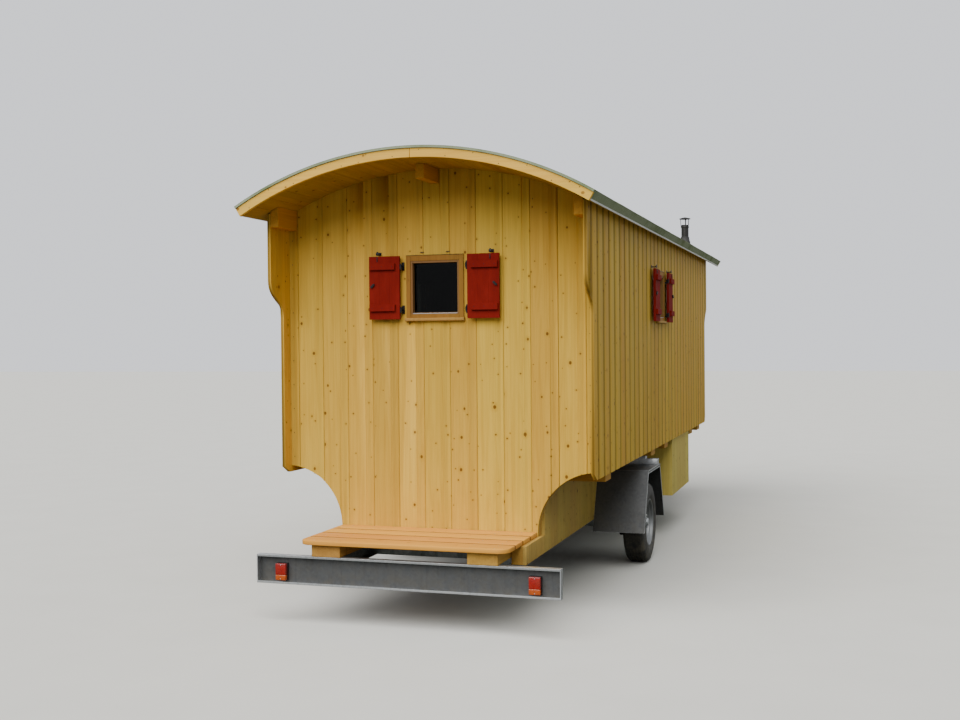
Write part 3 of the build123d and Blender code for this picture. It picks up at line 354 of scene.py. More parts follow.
# painted shade in the cladding's coves and joint slots
gableRecessShade = ("Y", -0.3, 2.825, 0.2, 4.0, 9.0)  # axis, middle, half, amount, start and full depth in mm
sideRecessShade = ("X", 0.0, 1.121, 0.6, 0.2, 3.0)
look = {
    "gable": timber(
        "spruceGable", "XZY", *spruce, gablePitch, gableShift, dirt=0.12, reach=1.2, paintedRecessShade=gableRecessShade,
    ),
    "side": timber(
        "spruceSide", "YZX", *spruce, sidePitch, sideShift, dirt=0.12, reach=1.4, paintedRecessShade=sideRecessShade,
    ),
    "lower": timber(
        "spruceLower", "YZX", (184, 156, 80), (150, 118, 52), sidePitch, sideShift, dirt=0.35, reach=1.0,
    ),
    "soffit": timber("spruceSoffit", "XYZ", (190, 150, 54), (154, 114, 34), 0.116, 0.0, 0.7),
    "barge": timber("spruceBarge", "ZXY", (244, 196, 90), (214, 160, 62), 0.4, 0.0, 0.8, figure=0.2),
    "purlin": timber("sprucePurlin", "XYZ", (212, 160, 60), (172, 120, 36), 0.5, 0.1, 0.8),
    "framing": timber("framingUpright", "YZX", (196, 152, 76), (152, 110, 50), 0.3, 0.0, 0.6),
    "framingLong": timber("framingLong", "XYZ", (190, 146, 72), (148, 106, 48), 0.2, 0.0, 0.6, dirt=0.3),
    "framingCross": timber("framingCross", "YXZ", (198, 150, 68), (152, 108, 44), 0.2, 0.0, 0.6, dirt=0.3),
    "box": timber("boxPanel", "YZX", (210, 190, 102), (177, 151, 70), 0.57, dirt=0.25, reach=0.9),
    "deck": timber("larchDeck", "YXZ", (224, 162, 72), (190, 122, 48), deckPitch, -3.825, 0.5, dirt=0.12),
    # painted shade: a darker larch for the eased faces beside the gaps between deck boards
    "deckEdge": timber("larchGapShade", "YXZ", (120, 74, 34), (92, 54, 24), deckPitch, -3.825, 0.0, bump=0.4),
    "sill": timber("sillWood", "XZY", (176, 138, 74), (146, 108, 54), 0.5, 0.1, 0.0, bump=0.3),
    "joinery": timber("joineryOil", "XZY", (152, 110, 46), (120, 82, 30), 0.5, 0.1, 0.2, bump=0.4),
    "bead": timber("glazingBead", "XZY", (140, 104, 62), (114, 82, 46), 0.5, 0.1, 0.0, bump=0.3),
    "door": timber("doorBoards", "XZY", (176, 122, 56), (140, 92, 38), 0.122, 0.061, 0.6),
    "red": painted("redPaint", (120, 20, 14), (134, 29, 22), (64, 18, 12), 0.25, shine=0.1, dull=0.35),
    "iron": painted("blackIron", (22, 22, 23), (36, 35, 34), (58, 40, 30), 0.2, 0.5, 0.3),
    "flue": painted("flueBlack", (26, 26, 27), (44, 43, 42), (70, 60, 54), 0.3, 0.5, 0.3),
    "rim": painted("rimPaint", (126, 128, 130), (102, 104, 106), (96, 80, 66), 0.35, 0.4, 0.3),
    "zinc": zinc("zincGalvanised", (150, 154, 158), (96, 101, 106)),
    "zincPale": zinc("zincPale", (196, 199, 201), (146, 151, 156), 60.0),
    "fender": zinc("zincFender", (94, 96, 98), (66, 68, 70), 55.0, 0.4),
    # partly the rolled lip's own paler zinc, partly a painted sky reflection
    "fenderEdge": zinc("zincLipAndReflection", (206, 209, 212), (168, 172, 176), 55.0, 0.3, 0.2),
    "drip": zinc("aluminiumDrip", (246, 247, 248), (228, 230, 232), 30.0, 0.75, 0.0),
    "felt": feltMaterial(),
    "rubber": rubberMaterial(),
    "glass": glassMaterial(),
    "lampRed": lampMaterial("lampRed", (190, 10, 8), (96, 4, 4)),
    "lampAmber": lampMaterial("lampAmber", (214, 96, 8), (130, 46, 4)),
}
print("materials ready:", len(look))


# making pieces: easing widths, outlines of round bodies and the sizes of heads are in mm, all else in metres

def normalsOut(shape):
    bmesh.ops.recalc_face_normals(shape, faces=shape.faces)


def newPiece(name, shape, materials, replaced="", body="hut", smooth=22.0):
    normalsOut(shape)
    mesh = bpy.data.meshes.new(name)
    shape.to_mesh(mesh)
    shape.free()
    piece = bpy.data.objects.new(name, mesh)
    stage.objects.link(piece)
    for key in materials.split():
        mesh.materials.append(look[key])
    mesh.shade_smooth()
    mesh.set_sharp_from_angle(angle=math.radians(smooth))
    nodes = replaced.split()
    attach(piece, body)
    if nodes:
        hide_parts(*nodes)


def cadCopy(nodeName):
    shape = bmesh.new()
    shape.from_mesh(frame["nodes"][nodeName].data)
    bmesh.ops.remove_doubles(shape, verts=shape.verts, dist=0.01 * mm)
    bmesh.ops.dissolve_limit(shape, angle_limit=math.radians(0.5), verts=shape.verts, edges=shape.edges)
    return shape


def easeEdges(shape, width, segments=2, sharp=25.0, only=None):
    limit = math.radians(sharp)
    edges = [e for e in shape.edges if len(e.link_faces) == 2 and e.calc_face_angle(0.0) > limit]
    return bmesh.ops.bevel(
        shape, geom=[e for e in edges if only is None or only(e)], offset=width * mm, offset_type="OFFSET",
        segments=segments, profile=0.5, affect="EDGES", clamp_overlap=True, material=-1,
    )["faces"]


def join(target, part, matrix=None, tint=None):
    if matrix is not None:
        bmesh.ops.transform(part, matrix=matrix, verts=part.verts)
    if tint is not None:
        for face in part.faces:
            face.material_index = tint
    mesh = bpy.data.meshes.new("joining")
    part.to_mesh(mesh)
    part.free()
    target.from_mesh(mesh)
    bpy.data.meshes.remove(mesh)
    return target


def block(x, y, z, width=1.5, segments=2):  # from low to high along each axis
    shape = bmesh.new()
    low, high = (Vector(corner) for corner in zip(x, y, z))
    made = bmesh.ops.create_cube(shape, size=1.0)["verts"]
    bmesh.ops.scale(shape, vec=high - low, verts=made)
    bmesh.ops.translate(shape, vec=(low + high) / 2, verts=made)
    if width:
        easeEdges(shape, width, segments)
    return shape


def around(middle, half):
    return middle - half, middle + half


def bothSides(inner, outer):
    return (-outer, -inner), (inner, outer)


def flatFace(corners):
    shape = bmesh.new()
    return shape, shape.faces.new([shape.verts.new(corner) for corner in corners])


def prism(corners, vector):
    shape, face = flatFace(corners)
    grown = bmesh.ops.extrude_face_region(shape, geom=[face])["geom"]
    bmesh.ops.translate(shape, verts=[v for v in grown if isinstance(v, bmesh.types.BMVert)], vec=vector)
    return shape


def moulding(half, profile):  # a profile of (y, z), drawn along X
    return prism([(-half, y, z) for y, z in profile], (2 * half, 0, 0))


def roundBody(outline, steps=64):  # closed outline of (along X, radius), spun about the X axis
    shape = bmesh.new()
    verts = [shape.verts.new((x * mm, 0.0, radius * mm)) for x, radius in outline]
    geom = verts + [shape.edges.new(pair) for pair in zip(verts, verts[1:] + verts[:1])]
    whole = 2 * math.pi
    bmesh.ops.spin(shape, geom=geom, cent=(0, 0, 0), axis=(1, 0, 0), angle=whole, steps=steps, use_merge=True)
    bmesh.ops.remove_doubles(shape, verts=shape.verts, dist=0.02 * mm)
    return shape


def rod(radius, length, sides, matrix):
    shape = bmesh.new()
    bmesh.ops.create_cone(
        shape, cap_ends=True, segments=sides, radius1=radius, radius2=radius, depth=length, matrix=matrix
    )
    return shape


def evaluated(shape, cutters, operation="INTERSECT"):  # one shape cut with others, as a new shape
    made = []
    for each in [shape] + cutters:
        mesh = bpy.data.meshes.new("cutting")
        each.to_mesh(mesh)
        each.free()
        made.append(bpy.data.objects.new("cutting", mesh))
        stage.objects.link(made[-1])
    for cutter in made[1:]:
        step = made[0].modifiers.new("cut", "BOOLEAN")
        step.operation = operation
        step.solver = "EXACT"
        step.object = cutter
    result = bmesh.new()
    result.from_mesh(made[0].evaluated_get(bpy.context.evaluated_depsgraph_get()).data)
    for piece in made:
        mesh = piece.data
        bpy.data.objects.remove(piece)
        bpy.data.meshes.remove(mesh)
    return result


outward = {
    "rear": turnBy(90, "X"),
    "front": turnBy(-90, "X"),
    "right": turnBy(90, "Y"),
    "left": turnBy(-90, "Y"),
    "up": Matrix.Identity(4),
}
standing = turnBy(-90, "Y")  # from along X to upright


def heads(places, facing, radius, rise, sides=10):  # low domed heads of nails, screws or bolts
    shape = bmesh.new()
    for place in places:
        bmesh.ops.create_cone(
            shape, cap_ends=True, segments=sides, radius1=radius * mm, radius2=radius * 0.7 * mm,
            depth=rise * mm, matrix=move(place) @ outward[facing] @ move((0, 0, rise * mm / 2)),
        )
    return shape


mirrorX = Matrix.Scale(-1, 4, (1, 0, 0))
rearFace, frontFace, halfWidth = -3.125, 2.525, 1.121
toRight = move((halfWidth, -0.55, 0)) @ turnBy(90, "Z") @ move((0, -rearFace, 0))


# cladding of upright tongued boards, one board drawn and repeated

boardProfile = {  # across the board and in from its face, in mm
    "back": 24.0,
    "flat": [(0.5, 1.6), (1.8, 0.4), (4.0, 0.0), (124.0, 0.0)],
    "cove": [
        (126.0, 0.6), (131.0, 3.2), (137.0, 5.4), (144.0, 6.7), (152.0, 7.0),
        (160.0, 6.6), (167.0, 5.2), (173.0, 3.4), (178.0, 1.8),
    ],
    "lip": 4.0,
    "lipDepth": 9.0,
    "gap": 0.5,
}
gableWall = {"pitch": gablePitch, "first": gableShift - 6 * gablePitch, "count": 13, "heights": (0.4, 3.1)}
sideWall = {"distance": halfWidth, "pitch": sidePitch, "count": 36, "heights": (0.8, 2.8)}
walls = {
    "rear": {"look": "gable", "turn": 0, "distance": -rearFace, **gableWall},
    "front": {"look": "gable", "turn": 180, "distance": frontFace, **gableWall},
    "right": {"look": "side", "turn": 90, "first": sideShift - 2 * sidePitch, **sideWall},
    "left": {"look": "side", "turn": 270, "first": 3.105 - 34 * sidePitch, **sideWall},
}


def boardOutline(pitch):
    width = pitch / mm
    lip, deep, gap, back = (boardProfile[key] for key in ("lip", "lipDepth", "gap", "back"))
    points = [(gap, back)] + boardProfile["flat"] + boardProfile["cove"]
    return points + [(width - lip, 1.0), (width - lip + 0.5, deep), (width - gap, deep), (width - gap, back)]


def boardWall(side, wall):
    turn = turnBy(wall["turn"], "Z")
    face = -wall["distance"]
    low, high = wall["heights"]
    outline = [(wall["first"] + u * mm, face + depth * mm, low) for u, depth in boardOutline(wall["pitch"])]
    boards = prism(outline, (0, 0, high - low))
    firstBoard = list(boards.verts) + list(boards.edges) + list(boards.faces)
    for number in range(1, wall["count"]):
        copy = bmesh.ops.duplicate(boards, geom=firstBoard)["geom"]
        verts = [v for v in copy if isinstance(v, bmesh.types.BMVert)]
        bmesh.ops.translate(boards, verts=verts, vec=(number * wall["pitch"], 0, 0))
    normalsOut(boards)
    plate = cadCopy(side + "_cladding")
    bmesh.ops.transform(plate, matrix=turn.inverted(), verts=plate.verts)
    for vert in plate.verts:  # only the outline counts, so the plate is made thicker than the boards
        vert.co.y += 5 * mm if vert.co.y > face + 12 * mm else -5 * mm
    shape = evaluated(boards, [plate])
    bmesh.ops.transform(shape, matrix=turn, verts=shape.verts)
    newPiece(side + "_boards", shape, wall["look"], side + "_cladding", smooth=40.0)


for side, wall in walls.items():
    boardWall(side, wall)
print("cladding boards ready")


# roof: curved about the line x = 0, z = roof["centre"]

roof = {
    "centre": 0.672643,
    "radius": 2.390357,
    "depth": 0.06,
    "half": math.asin(1.217 / 2.390357),
    "start": -3.665,
    "end": 3.275,
    "board": 0.028,
    "pitch": 0.116,
    "lip": 0.008,
}
feltHalf = roof["half"] + 0.00529 / roof["radius"]
outer = roof["radius"]
inner = outer - roof["depth"]
soffitEnds = roof["start"] + roof["board"] + seam, roof["end"] - roof["board"] - seam


def roofPoint(radius, angle, y):  # the angle is counted from the crown towards the right eave
    return Vector((radius * math.sin(angle), y, roof["centre"] + radius * math.cos(angle)))


def roofBand(outline, low, high, steps):  # outline holds pairs of radius and y
    shape, face = flatFace([roofPoint(radius, low, y) for radius, y in outline])
    bmesh.ops.spin(
        shape, geom=[face], cent=(0, 0, roof["centre"]), axis=(0, 1, 0), angle=high - low, steps=steps,
        use_merge=False,
    )
    return shape


def underSide(edge):  # the edges along a soffit board's lower face
    (x1, y1, z1), (x2, y2, z2) = (v.co for v in edge.verts)
    low = all(math.hypot(x, z - roof["centre"]) < inner + 5 * mm for x, z in ((x1, z1), (x2, z2)))
    return low and abs(y1 - y2) > 1.0


def soffitBoards():
    shape = bmesh.new()
    count = round(2 * roof["half"] * inner / roof["pitch"])
    step = 2 * roof["half"] / count
    gap = 0.4 * mm / inner
    low, high = soffitEnds
    outline = [(inner, low), (outer, low), (outer, high), (inner, high)]
    for number in range(count):
        start = -roof["half"] + number * step
        board = roofBand(outline, start + gap, start + step - gap, 2)
        easeEdges(board, 3, 1, 60.0, underSide)
        join(shape, board)
    low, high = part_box("flue_pipe")
    flue = (low + high) / 2
    return evaluated(shape, [rod(0.0403, 2.0, 48, move((flue.x, flue.y, 2.9)))], "DIFFERENCE")


newPiece("soffit_boards", soffitBoards(), "soffit", "roof_shell")

barge = {"joint": 0.012, "gap": 0.0005, "nailStep": 0.18, "nailRow": 0.3}


def bargeBoards():
    boards, nails = bmesh.new(), bmesh.new()
    leftEnd, rightEnd = around(barge["joint"], barge["gap"])
    for side, y, back in (("rear", roof["start"], roof["board"]), ("front", roof["end"], -roof["board"])):
        back += y
        for low, high in ((-feltHalf, leftEnd), (rightEnd, feltHalf)):
            part = roofBand([(inner, y), (outer, y), (outer, back), (inner, back)], low, high, 24)
            easeEdges(part, 2.5, 2, 50.0)
            join(boards, part)
        places = []
        count = int(2 * feltHalf * outer / barge["nailStep"])
        for number in range(count):
            angle = -feltHalf + (number + 0.5) * 2 * feltHalf / count
            radius = inner + roof["depth"] * (0.5 + barge["nailRow"] * (number % 2 * 2 - 1))
            places.append(roofPoint(radius, angle, y))
        join(nails, heads(places, side, 3.4, 0.8))
    newPiece("barge_boards", boards, "barge", "bargeboards")
    newPiece("barge_nails", nails, "iron")


bargeBoards()

felt = {
    "sheet": 1.0,
    "lap": 0.1,
    "crown": 0.0163,
    "step": 0.0022,
    "edge": 0.0012,
    "drop": 0.042,
    "flapLap": 0.012,
    "flapShift": 0.0011,
    "underlay": (0.0004, 0.0005),  # how far it stays inside the sheets, at the eaves and below
    "steps": 56,
}


def feltSheets():
    shape = bmesh.new()
    base, top = outer + seam, outer + felt["crown"]
    low, high = roof["start"] - roof["lip"], roof["end"] + roof["lip"]
    edge = felt["edge"]
    worn = top - felt["step"]
    inset, below = felt["underlay"]
    under = [(base, low), (worn - below, low), (worn - below, high), (base, high)]
    join(shape, roofBand(under, inset - feltHalf, feltHalf - inset, felt["steps"]))
    count = math.ceil((high - low - felt["lap"]) / (felt["sheet"] - felt["lap"]))
    pitch = (high - low - felt["lap"]) / count
    for number in range(count):  # each sheet lies on the edge of the one before
        start = low + number * pitch
        end = start + pitch + felt["lap"]
        section = [(top - edge * 0.3, start), (top, start + 4 * edge), (worn, end), (worn - mm, end)]
        join(shape, roofBand([(worn - mm, start + edge)] + section, -feltHalf, feltHalf, felt["steps"]))
    start, end = soffitEnds
    near, foot = roof["half"] + seam / outer, outer - felt["drop"]
    count = round((end - start) / felt["sheet"])
    pitch = (end - start) / count
    for number in range(count):  # the flaps that hang over the eaves
        first = start + number * pitch
        length = pitch + (0.0 if number == count - 1 else felt["flapLap"])
        far = feltHalf - felt["flapShift"] * (number % 2) / outer
        for side in (-1, 1):
            turns = ((base, near), (base, far), (foot, far), (foot, near))
            corners = [roofPoint(radius, side * angle, first) for radius, angle in turns]
            join(shape, prism(corners, (0, length, 0)))
    return shape


newPiece("felt_sheets", feltSheets(), "felt", "roof_felt", smooth=30.0)
print("roof ready")


# windows: drawn at the rear gable, and copied to the side walls

window = {
    "half": 0.2075,
    "foot": 1.990,
    "head": 2.418,
    "stile": 0.0315,
    "bead": 0.014,
    "top": 0.052,
    "bottom": 0.038,
    "proud": 0.012,
    "beads": (0.0045, 0.0295),  # behind the frame's face, behind the wall's face
    "lining": (0.1683, 2.0098, 2.3982),  # half width, foot and head
    "liningDepth": (0.0362, 0.0843),
    "sill": (0.214, 0.030, 0.022),  # half width, reach and height
    "vents": (-0.0935, 0.0945),
}


def windowShape():
    shape = bmesh.new()
    half, stile, bead, foot, head = (window[key] for key in ("half", "stile", "bead", "foot", "head"))
    wall = rearFace - seam
    front = wall - window["proud"]
    opening = half - stile
    glassHalf, glassFoot, glassHead = opening - bead, foot + window["bottom"], head - window["top"]
    span = around(0, glassHalf - seam)
    for x in bothSides(opening, half):
        join(shape, block(x, (front, wall), (foot, head), 1.6))
    for z in ((glassHead + bead, head), (foot, glassFoot - bead)):
        join(shape, block(around(0, opening - 0.4 * mm), (front, wall), z, 1.6))
    shelf, reach, tall = window["sill"]
    sill = block(around(0, shelf), (wall - reach, wall), (foot - tall, foot), 0)
    easeEdges(sill, 7, 4, only=lambda edge: all(v.co.y < rearFace - 0.02 for v in edge.verts))
    join(shape, sill, tint=4)
    proud, deep = front + window["beads"][0], rearFace + window["beads"][1]
    for x in bothSides(glassHalf, opening - seam):
        join(shape, block(x, (proud, deep), (glassFoot - bead, glassHead + bead), 1.2), tint=1)
    join(shape, block(span, (proud, deep), (glassHead, glassHead + bead - seam), 1.2), tint=1)
    low = glassFoot - bead + seam
    sloped = [(proud, low), (proud, glassFoot - 5 * mm), (deep, glassFoot), (deep, low)]
    join(shape, moulding(span[1], sloped), tint=1)
    # painted highlight: a thin pale strip along the foot of the glass
    highlightStrip = block(span, (proud - 0.8 * mm, proud + mm), (glassFoot - 9 * mm, glassFoot - 5.5 * mm), 0.3)
    join(shape, highlightStrip, tint=2)
    lining, liningFoot, liningHead = window["lining"]
    y = [rearFace + depth for depth in window["liningDepth"]]
    for x in bothSides(glassHalf, lining):
        join(shape, block(x, y, (liningFoot, liningHead), 1.2))
    for z in ((liningFoot, glassFoot), (glassHead, liningHead)):
        join(shape, block(span, y, z, 1.2))
    # a thin dark drip flashing over the frame's head that also paints the shadow line above it
    lip = front - 3 * mm
    shadowFlashing = [(wall, 3.5), (lip, 1.5), (lip, 0.4), (wall, 0.4)]
    join(shape, moulding(half, [(y, head + over * mm) for y, over in shadowFlashing]), tint=3)
    return shape


def windowVents():
    shape = bmesh.new()
    for x in window["vents"]:
        # painted shade: each slot is a thin dark block on the wall's face, and the lip above it is joinery
        shadeSlot, lip = (rearFace - 1.2 * mm, rearFace - 0.1 * mm), (rearFace - 4 * mm, rearFace - 0.2 * mm)
        join(shape, block(around(x, 14.5 * mm), shadeSlot, (2.4375, 2.4425), 0.4))
        join(shape, block(around(x, 15.5 * mm), lip, (2.4355, 2.4372), 0.4), tint=1)
    return shape


windowLooks = "joinery bead zincPale iron sill"
newPiece("rear_window", windowShape(), windowLooks, "rear_window_frame")
sideWindows = join(join(bmesh.new(), windowShape(), toRight), windowShape(), mirrorX @ toRight)
newPiece("side_windows", sideWindows, windowLooks, "side_window_frames")
newPiece("window_vents", windowVents(), "iron joinery")


# shutters: the right leaf of the rear window is drawn, the others are copies

leaf = {
    "inner": 0.244,
    "outer": 0.469,
    "foot": 1.982,
    "head": 2.416,
    "gap": 0.025,
    "thick": 0.020,
    "ledge": 0.018,
    "ledgeHeight": 0.045,
    "ledgeFeet": (2.038, 2.322),
    "ledgeInsets": (0.030, 0.008),
    "button": (0.441, 2.214),
    "catch": 0.407,
    "pin": 0.236,
    "pinDepth": 0.041,
    "straps": (2.049, 2.346),
}
leafFront = rearFace - leaf["gap"] - leaf["thick"]
pinPlace = leaf["pin"], rearFace - leaf["pinDepth"]
ironwork = {  # in mm
    "barrel": [(-12, 4.05), (-12, 6.9), (-11.4, 7.5), (11.4, 7.5), (12, 6.9), (12, 4.05)],
    "pintle": [(-5, 0.01), (-5, 4), (28, 4), (29.5, 2.6), (29.5, 0.01)],
    "catch": (  # half width, near and far from the wall, foot and head over the leaf's head, easing
        (15, 0, 3, 8, 30, 1.2, 2),
        (4.5, 2, 40, 10.5, 19.5, 1.5, 2),
        (11, 35, 45, 6.5, 26.5, 4.0, 3),
        (6, 36, 44, 24.5, 32.5, 2.5, 3),
    ),
}


def leafShape():
    shape = bmesh.new()
    third = (leaf["outer"] - leaf["inner"]) / 3
    for number in range(3):
        low = leaf["inner"] + number * third
        board = (leafFront, leafFront + leaf["thick"]), (leaf["foot"], leaf["head"])
        join(shape, block((low, low + third), *board, 0.9))
    low, high = leaf["inner"] + leaf["ledgeInsets"][0], leaf["outer"] - leaf["ledgeInsets"][1]
    face, tall = leafFront - leaf["ledge"], leaf["ledgeHeight"]
    for foot in leaf["ledgeFeet"]:
        join(shape, block((low, high), (face, leafFront), (foot, foot + tall), 2.0))
        places = [(x, face, foot + tall / 2) for x in (low + 0.02, (low + high) / 2, high - 0.02)]
        join(shape, heads(places, "rear", 2.6, 0.7), tint=1)
    x, z = leaf["button"]
    button = block(around(0, 18 * mm), (-12 * mm, 0), around(0, 7 * mm), 0)
    easeEdges(button, 6.5, 4, only=lambda edge: abs(edge.verts[0].co.y - edge.verts[1].co.y) > 10 * mm)
    join(shape, button, move((x, leafFront, z)) @ turnBy(45, "Y"), tint=1)
    return join(shape, heads([(x, leafFront - 12 * mm, z)], "rear", 3.0, 1.0), tint=1)


def strapShape():  # the straps with their eyes, and the eye that the catch holds an open leaf by
    shape = bmesh.new()
    face = rearFace - leaf["gap"] + seam
    pin, depth = pinPlace
    for level in leaf["straps"]:
        z = around(level, 10 * mm)
        join(shape, block((pin - 5 * mm, pin + 37 * mm), (face, face + 3 * mm), z, 0.6))
        join(shape, block((pin - 2 * mm, pin + 3 * mm), (depth + 5 * mm, face + 2 * mm), z, 0.5))
        join(shape, roundBody(ironwork["barrel"], 24), move((pin, depth, level)) @ outward["right"])
        places = [(pin + along * mm, face + 3 * mm, level) for along in (14, 30)]
        join(shape, heads(places, "front", 2.4, 0.7))
    x, y, top = leaf["catch"], leafFront - 5 * mm, leaf["head"]
    join(shape, block(around(x, 3 * mm), (y, leafFront), (top - 38 * mm, top - 2 * mm), 1.2))
    return join(shape, heads([(x, y, top - 30 * mm)], "rear", 4.0, 1.4))


def pintleShape():
    shape = bmesh.new()
    wall = rearFace - seam
    pin, depth = pinPlace
    for level in leaf["straps"]:
        join(shape, block((pin - 14 * mm, pin + 6 * mm), (wall - 6 * mm, wall), around(level, 28.5 * mm)))
        top = level - 12.3 * mm
        join(shape, block(around(pin, 5 * mm), (depth - 5 * mm, wall - 5 * mm), (top - 10 * mm, top), 1.0))
        join(shape, roundBody(ironwork["pintle"], 20), move((pin, depth, top)) @ standing)
        places = [(pin - 4 * mm, wall - 6 * mm, z) for z in around(level, 20 * mm)]
        join(shape, heads(places, "rear", 3.0, 0.9))
    return shape


def catchShape():
    shape = bmesh.new()
    for half, near, far, foot, top, width, segments in ironwork["catch"]:
        y = [rearFace - seam - distance * mm for distance in (far, near)]
        z = [leaf["head"] + over * mm for over in (foot, top)]
        join(shape, block(around(leaf["catch"], half * mm), y, z, width, segments))
    return shape


leaves = {
    "rear_right": Matrix.Identity(4),
    "rear_left": mirrorX,
    "right_front": toRight,
    "right_back": toRight @ mirrorX,
}
for name, matrix in leaves.items():
    panel, hinge = join(bmesh.new(), leafShape(), matrix), join(bmesh.new(), strapShape(), matrix)
    newPiece(name + "_panel", panel, "red iron", name + "_shutter", name + "_leaf")
    newPiece(name + "_hinge", hinge, "iron", name + "_straps", name + "_leaf")

panels, hinges, pintles, catches = (bmesh.new() for _ in range(4))
toLeft = mirrorX @ toRight
for matrix in (toLeft, toLeft @ mirrorX):
    join(panels, leafShape(), matrix)
    join(hinges, strapShape(), matrix)
for wallTurn in (Matrix.Identity(4), toRight, toLeft):
    for matrix in (wallTurn, wallTurn @ mirrorX):
        join(pintles, pintleShape(), matrix)
        join(catches, catchShape(), matrix)
newPiece("left_panels", panels, "red iron", "left_shutters")
newPiece("left_hinges", hinges, "iron", "left_straps")
newPiece("wall_pintles", pintles, "iron", "shutter_pintles")
newPiece("wall_catches", catches, "iron", "shutter_catches")
print("windows and shutters ready")


# wheels: drawn about the origin with the outer side towards +X; in mm

tyre = {
    "side": [
        (-70.5, 178.5), (-76.5, 183.0), (-78.5, 191.5), (-84.0, 200.0), (-90.0, 220.0), (-92.4, 236.0),
        (-91.2, 243.0), (-92.2, 249.0), (-90.6, 256.0), (-89.0, 278.0), (-82.0, 304.0), (-71.0, 316.5),
    ],
    "ribs": ((-60.0, -39.0), (-34.0, -13.5), (-8.5, 8.5), (13.5, 34.0), (39.0, 60.0)),
    "base": 320.0,
    "block": 5.0,
    "joint": 1.7,
    "steps": 72,
}
rim = {
    "place": (1.022, -1.03, 0.325),  # in metres
    "barrel": [
        (-40.0, 157.5), (-54.0, 163.0), (-60.0, 171.5), (-70.0, 174.8), (-79.0, 178.0), (-82.2, 182.0),
        (-83.2, 188.0), (-82.5, 191.0), (-80.5, 191.5), (-79.2, 190.5), (-79.0, 184.0), (-76.0, 180.2),
        (-69.0, 177.6), (-58.5, 174.6), (-52.5, 166.0), (-39.5, 160.4),
    ],
    "disc": [
        (46.0, 0.01), (46.0, 74.0), (40.0, 83.0), (24.0, 97.0), (20.0, 112.0), (24.0, 126.0), (36.0, 140.0),
        (41.0, 150.0), (40.0, 157.6), (30.0, 157.6), (36.0, 149.0), (32.0, 142.0), (20.0, 128.5),
        (16.0, 112.0), (20.0, 95.5), (37.0, 79.5), (41.2, 72.0), (41.2, 0.01),
    ],
    "drum": [
        (-160.5, 20.05), (-160.5, 110.0), (-156.0, 115.0), (-139.0, 115.0), (-138.0, 112.5),
        (-101.0, 112.5), (-100.0, 115.0), (-66.0, 115.0), (-60.0, 109.0), (-60.0, 62.0), (41.0, 62.0),
        (41.0, 0.01), (16.0, 0.01), (16.0, 20.05),
    ],
    "cap": [(46.0, 0.01), (46.0, 33.0), (66.0, 31.5), (71.0, 28.0), (73.0, 20.0), (74.0, 0.01)],
    "holes": (12, 13.0, 114.0),  # how many, radius, distance from the middle
    "nuts": (5, 11.0, 56.0),
}


def bothHalves(half, between=()):
    return half + list(between) + [(-x, radius) for x, radius in reversed(half)]


def tyreShape():
    tread = [(x, tyre["base"]) for rib in tyre["ribs"] for x in rib]
    shape = roundBody(bothHalves(tyre["side"], tread), tyre["steps"])
    normalsOut(shape)
    blocks = []
    for face in shape.faces:
        middle = face.calc_center_median()
        onRib = any(low * mm < middle.x < high * mm for low, high in tyre["ribs"])
        if onRib and math.hypot(middle.y, middle.z) > (tyre["base"] - 2) * mm:
            blocks.append(face)
    bmesh.ops.inset_individual(shape, faces=blocks, thickness=tyre["joint"] * mm, depth=tyre["block"] * mm)
    return shape


def ringPlaces(count, radius, x):
    turns = [2 * math.pi * number / count for number in range(count)]
    return [Vector((x, math.sin(turn) * radius, math.cos(turn) * radius)) * mm for turn in turns]


def rimShape():
    shape = roundBody(bothHalves(rim["barrel"]))
    count, radius, distance = rim["holes"]
    places = [move(place) @ outward["right"] for place in ringPlaces(count, distance, 20.0)]
    cutters = [rod(radius * mm, 60 * mm, 20, place) for place in places]
    join(shape, evaluated(roundBody(rim["disc"]), cutters, "DIFFERENCE"), tint=0)
    join(shape, roundBody(rim["cap"], 40), tint=1)
    join(shape, roundBody(rim["drum"], 48), tint=2)
    count, radius, distance = rim["nuts"]
    return join(shape, heads(ringPlaces(count, distance, 45.8), "right", radius, 13.0, 6), tint=1)


for side, mirrored in (("right", Matrix.Identity(4)), ("left", mirrorX)):
    place, body = mirrored @ move(rim["place"]), side + "_wheel"
    newPiece(side + "_tread", join(bmesh.new(), tyreShape(), place), "rubber", side + "_tyre", body)
    wheel = join(bmesh.new(), rimShape(), place)
    newPiece(side + "_wheel", wheel, "rim zincPale iron", side + "_rim", body, smooth=30.0)
print("wheels ready")


# fenders, deck, light bar and lamps

# the fender's rolled lip, in a pale zinc that is partly its own and partly painted sky reflection, and the
# light bar's web, in darker zinc as painted shade
rimReflectionAndWebShade = {"rolled": 5.0, "drop": 1.2, "edge": 0.8, "skirt": 1.14, "web": -3.74}
deck = {"board": 0.169, "edge": 4.5, "reach": 0.010}
lamp = {
    "place": 0.86,
    "half": 0.04,
    "foot": 0.27,
    "top": 0.385,
    "back": -3.7353,
    "front": -3.7753,
    "split": 0.308,
    "base": 0.014,
    "rim": 0.003,
}


def fenderShape():
    shape = cadCopy("fenders")
    sides = [face for face in shape.faces if abs(face.normal.x) > 0.99]
    skirts = [face for face in sides if abs(face.calc_center_median().x) > rimReflectionAndWebShade["skirt"]]
    rims = bmesh.ops.inset_region(
        shape, faces=skirts, thickness=rimReflectionAndWebShade["rolled"] * mm, depth=-rimReflectionAndWebShade["drop"] * mm, use_even_offset=True
    )["faces"]
    # the rolled lip and eased edges take a near-white zinc, partly painted sky reflection
    for face in rims:
        face.material_index = 1
    for face in easeEdges(shape, rimReflectionAndWebShade["edge"], 2, 60.0):
        face.material_index = 1
    return shape


